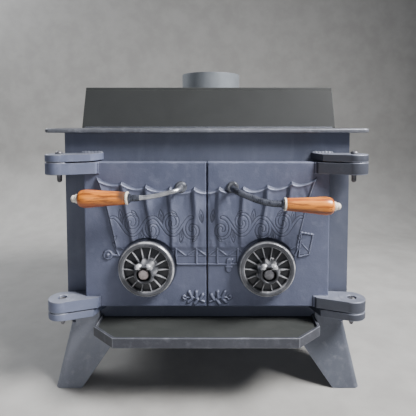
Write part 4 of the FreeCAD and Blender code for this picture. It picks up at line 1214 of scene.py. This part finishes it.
def wooden_grip(side, place):
    """The turned hardwood grip, not quite round, with a smudge on the left one."""
    count = 72
    rings = [(grip_radius(k / count), GRIP_LENGTH * k / count) for k in range(count + 1)]
    vertices, faces = lathe([(0, 0), *rings, (0, GRIP_LENGTH)], count)
    phase = np.random.default_rng(4 if side == "left" else 9).uniform(0, 6, 3)
    smudge = []
    for v in vertices:
        turn = math.atan2(v.y, v.x)
        share = v.z / GRIP_LENGTH
        worn = 1 + 0.012 * math.sin(turn * 2 + phase[0] + share * 3) + 0.008 * math.sin(turn * 3 + phase[1])
        v.x *= worn
        v.y *= worn
        high = (place.to_3x3() @ Vector((v.x, v.y, 0))).z / (15 * MM)
        mark = max(0.0, 1 - share / 0.22) * max(0.0, min(1.0, 0.6 + high))
        smudge.append(min(1.0, mark * 1.8) if side == "left" else 0.25 * max(0.0, 1 - share / 0.05))
    node = side + "_handle_grip"
    mesh = merge([(vertices, faces, place)], node + "_turned", 50)
    made = object_from(mesh.name, mesh, side + "_handle", [WOOD])
    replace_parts(made, node)
    set_attribute(mesh, "grime_and_shade", smudge)


def bushing_and_latch(side):
    """The handle's bushing, the latch behind the door, and the draft's boss, nut and washer."""
    body = side + "_door"
    place = on_door(side, HANDLE_X, HANDLE_Z)
    profile = [(SHAFT_BORE, -10), (11, -10), (11, 0), (15, 0), (15, 3.5), (12.4, 7.6), (9, 8)]
    profile = rounded(in_metres(profile + [(SHAFT_BORE, 8)]), 0.8 * MM)
    turned_node(side + "_handle_bushing", profile, 64, place, body, "handle_steel", BUSHING_STEEL)
    for node, rider in (("latch_tongue", "_handle"), ("latch_nut", "_handle"), ("draft_nut", "_door")):
        finished(f"{side}_{node}", side + rider, INNER_STEEL, 0.8 * MM, INNER_STEEL, 2)
    paint(side + "_draft_washer", PIN_STEEL)
    boss = rounded(in_metres([(SHAFT_BORE, 0), (20, 0), (19, 8.2), (SHAFT_BORE, 8.2)]), 1.5 * MM)
    place = standing(-OUT, Vector((SIDES[side] * WHEEL_X, DOOR_FACE + DOOR_WALL - 0.2 * MM, WHEEL_Z)))
    turned(side + "_draft_boss", boss, 48, place, body, "door_iron", SOOTY_IRON)


def gasket(side):
    """The braided rope in the door's rim: the hinge side, the top and the bottom."""
    sign = SIDES[side]
    node = side + "_door_gasket"
    (low_x, _, low_z), (high_x, _, high_z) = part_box(node)
    inner, outer = sorted((abs(low_x), abs(high_x)))
    radius = 3.9 * MM
    plan = [
        (inner + 1 * MM, high_z - radius), (outer - radius, high_z - radius),
        (outer - radius, low_z + radius), (inner + 1 * MM, low_z + radius),
    ]
    corners = [(sign * x, FRONT_Y - 4.4 * MM, z) for x, z in plan]
    path = divided(rounded_path(corners, [7 * MM, 7 * MM], 6), 1.6 * MM)
    around = 20
    mesh = tube_mesh(node + "_rope", path, [radius] * len(path), around, 60)
    for ring, point in enumerate(path):
        for k in range(around):
            v = mesh.vertices[ring * around + k]
            twist = k * 8 * math.pi / around
            braid = math.sin(ring * 0.9 + twist) * math.sin(ring * 0.9 - twist)
            v.co = point + (v.co - point) * (0.95 + 0.05 * braid)
    made = object_from(mesh.name, mesh, side + "_door", [ROPE])
    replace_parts(made, node)


# ================= draft wheels =================
WHEEL_BAND = 14.5
SPOKES = 14
HUB_FRONT = 48.0
WHEEL_STANDS_OUT = 10 * MM


def wheel_rim():
    """The rim, with light lines along its outer and inner edges on its front, for wear and painted
    highlights.
    """
    inner = WHEEL_RADIUS - WHEEL_BAND
    outline = [(inner, 0.2), (WHEEL_RADIUS, 0), (WHEEL_RADIUS, 7.5), (WHEEL_RADIUS - 4.5, 13.6)]
    outline += [(inner + 3, 12.8), (inner, 9.5)]
    vertices, faces = lathe(rounded(in_metres(outline), 3.4 * MM, 5), 144)
    wear_and_highlight = []
    for v in vertices:
        from_edge = WHEEL_RADIUS - math.hypot(v.x, v.y) / MM
        outer_line = max(0.0, 1 - abs(from_edge - 2.6) / 2.4)
        inner_line = max(0.0, 1 - abs(from_edge - WHEEL_BAND + 1.2) / 2.2)
        wear_and_highlight.append(0.05 + max(0.85 * outer_line, 0.5 * inner_line) * (v.z > 6 * MM))
    return vertices, faces, wear_and_highlight, [0.0] * len(vertices)


def wheel_back_and_hub():
    """The closed back, and the hub whose shoulder is lobed where the spokes run up it."""
    disc = WHEEL_RADIUS - WHEEL_BAND + 2
    outline = [(SHAFT_BORE, 4), (16, 4), (16, 0), (disc, 0), (disc, 3), (32, 3.2), (28.5, 6), (27.0, 12)]
    outline += [(26.6, 20), (26.0, 29), (24.0, 35), (21.4, 39), (21.8, HUB_FRONT - 1), (20.6, HUB_FRONT)]
    outline += [(17.6, HUB_FRONT), (16.5, HUB_FRONT - 2), (16.5, 30), (SHAFT_BORE, 30)]
    vertices, faces = lathe(rounded(in_metres(outline), 1.3 * MM, 3), SPOKES * 10)
    # painted shade: the back disc and the foot of the hub are marked dark, less so higher up the hub, for
    # the shade behind and between the spokes
    wear_and_highlight, grime_and_shade = [0.0] * len(vertices), [1.0] * len(vertices)
    for k, v in enumerate(vertices):
        radius, height = math.hypot(v.x, v.y) / MM, v.z / MM
        if radius <= 20 or height <= 3.5:
            continue
        turn = math.atan2(v.y, v.x)
        wave = math.cos(SPOKES / 2 * turn + 0.4)
        share = math.sin(math.pi * min(1, max(0, (height - 4) / 37)))
        scale = 1 + share * (2.4 * wave + 0.8 * math.cos(SPOKES * turn)) / radius
        v.x *= scale
        v.y *= scale
        # the lobes' crests are marked light, for wear and painted highlight
        wear_and_highlight[k] = min(1.0, 0.05 + 0.25 * share * (1 + wave))
        grime_and_shade[k] = max(0.0, 0.85 - (height - 3.5) / 20)
    return vertices, faces, wear_and_highlight, grime_and_shade


def hub_ear(turn):
    """A lump cast on the hub's shoulder, marked light all over for wear and a painted highlight."""
    arc = [math.pi / 8 * k for k in range(-4, 5)]
    vertices, faces = lathe([(math.cos(rise), math.sin(rise)) for rise in arc], 16)
    shape = Matrix.Diagonal((7.5 * MM, 9.5 * MM, 8.0 * MM, 1))
    seat = Matrix.Rotation(turn, 4, "Z") @ Matrix.Translation((21.5 * MM, 0, 41 * MM)) @ shape
    return [seat @ v for v in vertices], faces, [1.0] * len(vertices), [0.0] * len(vertices)


def wheel_spoke(turn):
    """A rib that climbs from the rim to the hub's shoulder, through (radius, height, half width)."""
    root = WHEEL_RADIUS - WHEEL_BAND + 2
    stations = (
        (root, 9.0, 1.4), (50.0, 9.6, 1.4), (42.0, 11.2, 1.4), (34.0, 14.2, 1.45), (27.5, 18.0, 1.5),
        (23.0, 23.0, 1.3),
    )
    spin = Matrix.Rotation(turn, 3, "Z")
    rings = []
    for radius, top, half in stations:
        flank = [(half * 1.25, 2.0), (half, top - 1.6), (half * 0.55, top - 0.3)]
        section = [(-across, z) for across, z in flank] + flank[::-1]
        rings.append([spin @ Vector((radius, across, z)) * MM for across, z in section])
    vertices, faces = loft(rings)
    # wear and painted highlight on the spokes, lightest about 10 mm up; painted shade at their feet on the
    # disc
    wear_and_highlight = [max(0.0, 0.6 - abs(v.z / MM - 10) / 14) for v in vertices]
    return vertices, faces, wear_and_highlight, [float(v.z < 4 * MM) for v in vertices]


def draft_wheel(side):
    """The spoked wheel, with a closed back that covers the ports."""
    place = on_door(side, WHEEL_X, WHEEL_Z, WHEEL_STANDS_OUT)
    shells = [wheel_rim(), wheel_back_and_hub()]
    shells += [wheel_spoke(2 * math.pi * k / SPOKES) for k in range(SPOKES)]
    # the two light lumps sit on the wheel's upper side, where they stand for highlights
    shells += [hub_ear(turn) for turn in (0.3 * math.pi, 0.7 * math.pi)]
    node = side + "_draft_wheel"
    mesh = merge([(*shell[:2], place) for shell in shells], node + "_cast", 32)
    made = object_from(mesh.name, mesh, node, [WHEEL_IRON])
    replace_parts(made, node)
    set_attribute(mesh, "wear_and_highlight", [value for shell in shells for value in shell[2]])
    set_attribute(mesh, "grime_and_shade", [value for shell in shells for value in shell[3]])


def draft_stud(side):
    """The plain stud that the wheel turns on, with its rounded head."""
    profile = [(0, -30), (5.4, -30), (6, -29.2), (6, 48), (11.6, 48), (12.5, 49.2), (12.5, 53)]
    profile = in_metres(profile + [(11.8, 54.6), (9.5, 55.6), (5, 56), (0, 56)])
    place = on_door(side, WHEEL_X, WHEEL_Z)
    steel = STUD_STEEL if side == "left" else PIN_STEEL
    turned_node(side + "_draft_stud", profile, 48, place, side + "_door", "pin_steel", steel, 50)


# ================= assembly of the looks =================
stage()
light()
camera()
body_plates()
welds()
for side_name in SIDES:
    cast_door(side_name)
    hinges(side_name)
    handle(side_name)
    bushing_and_latch(side_name)
    gasket(side_name)
    draft_wheel(side_name)
    draft_stud(side_name)
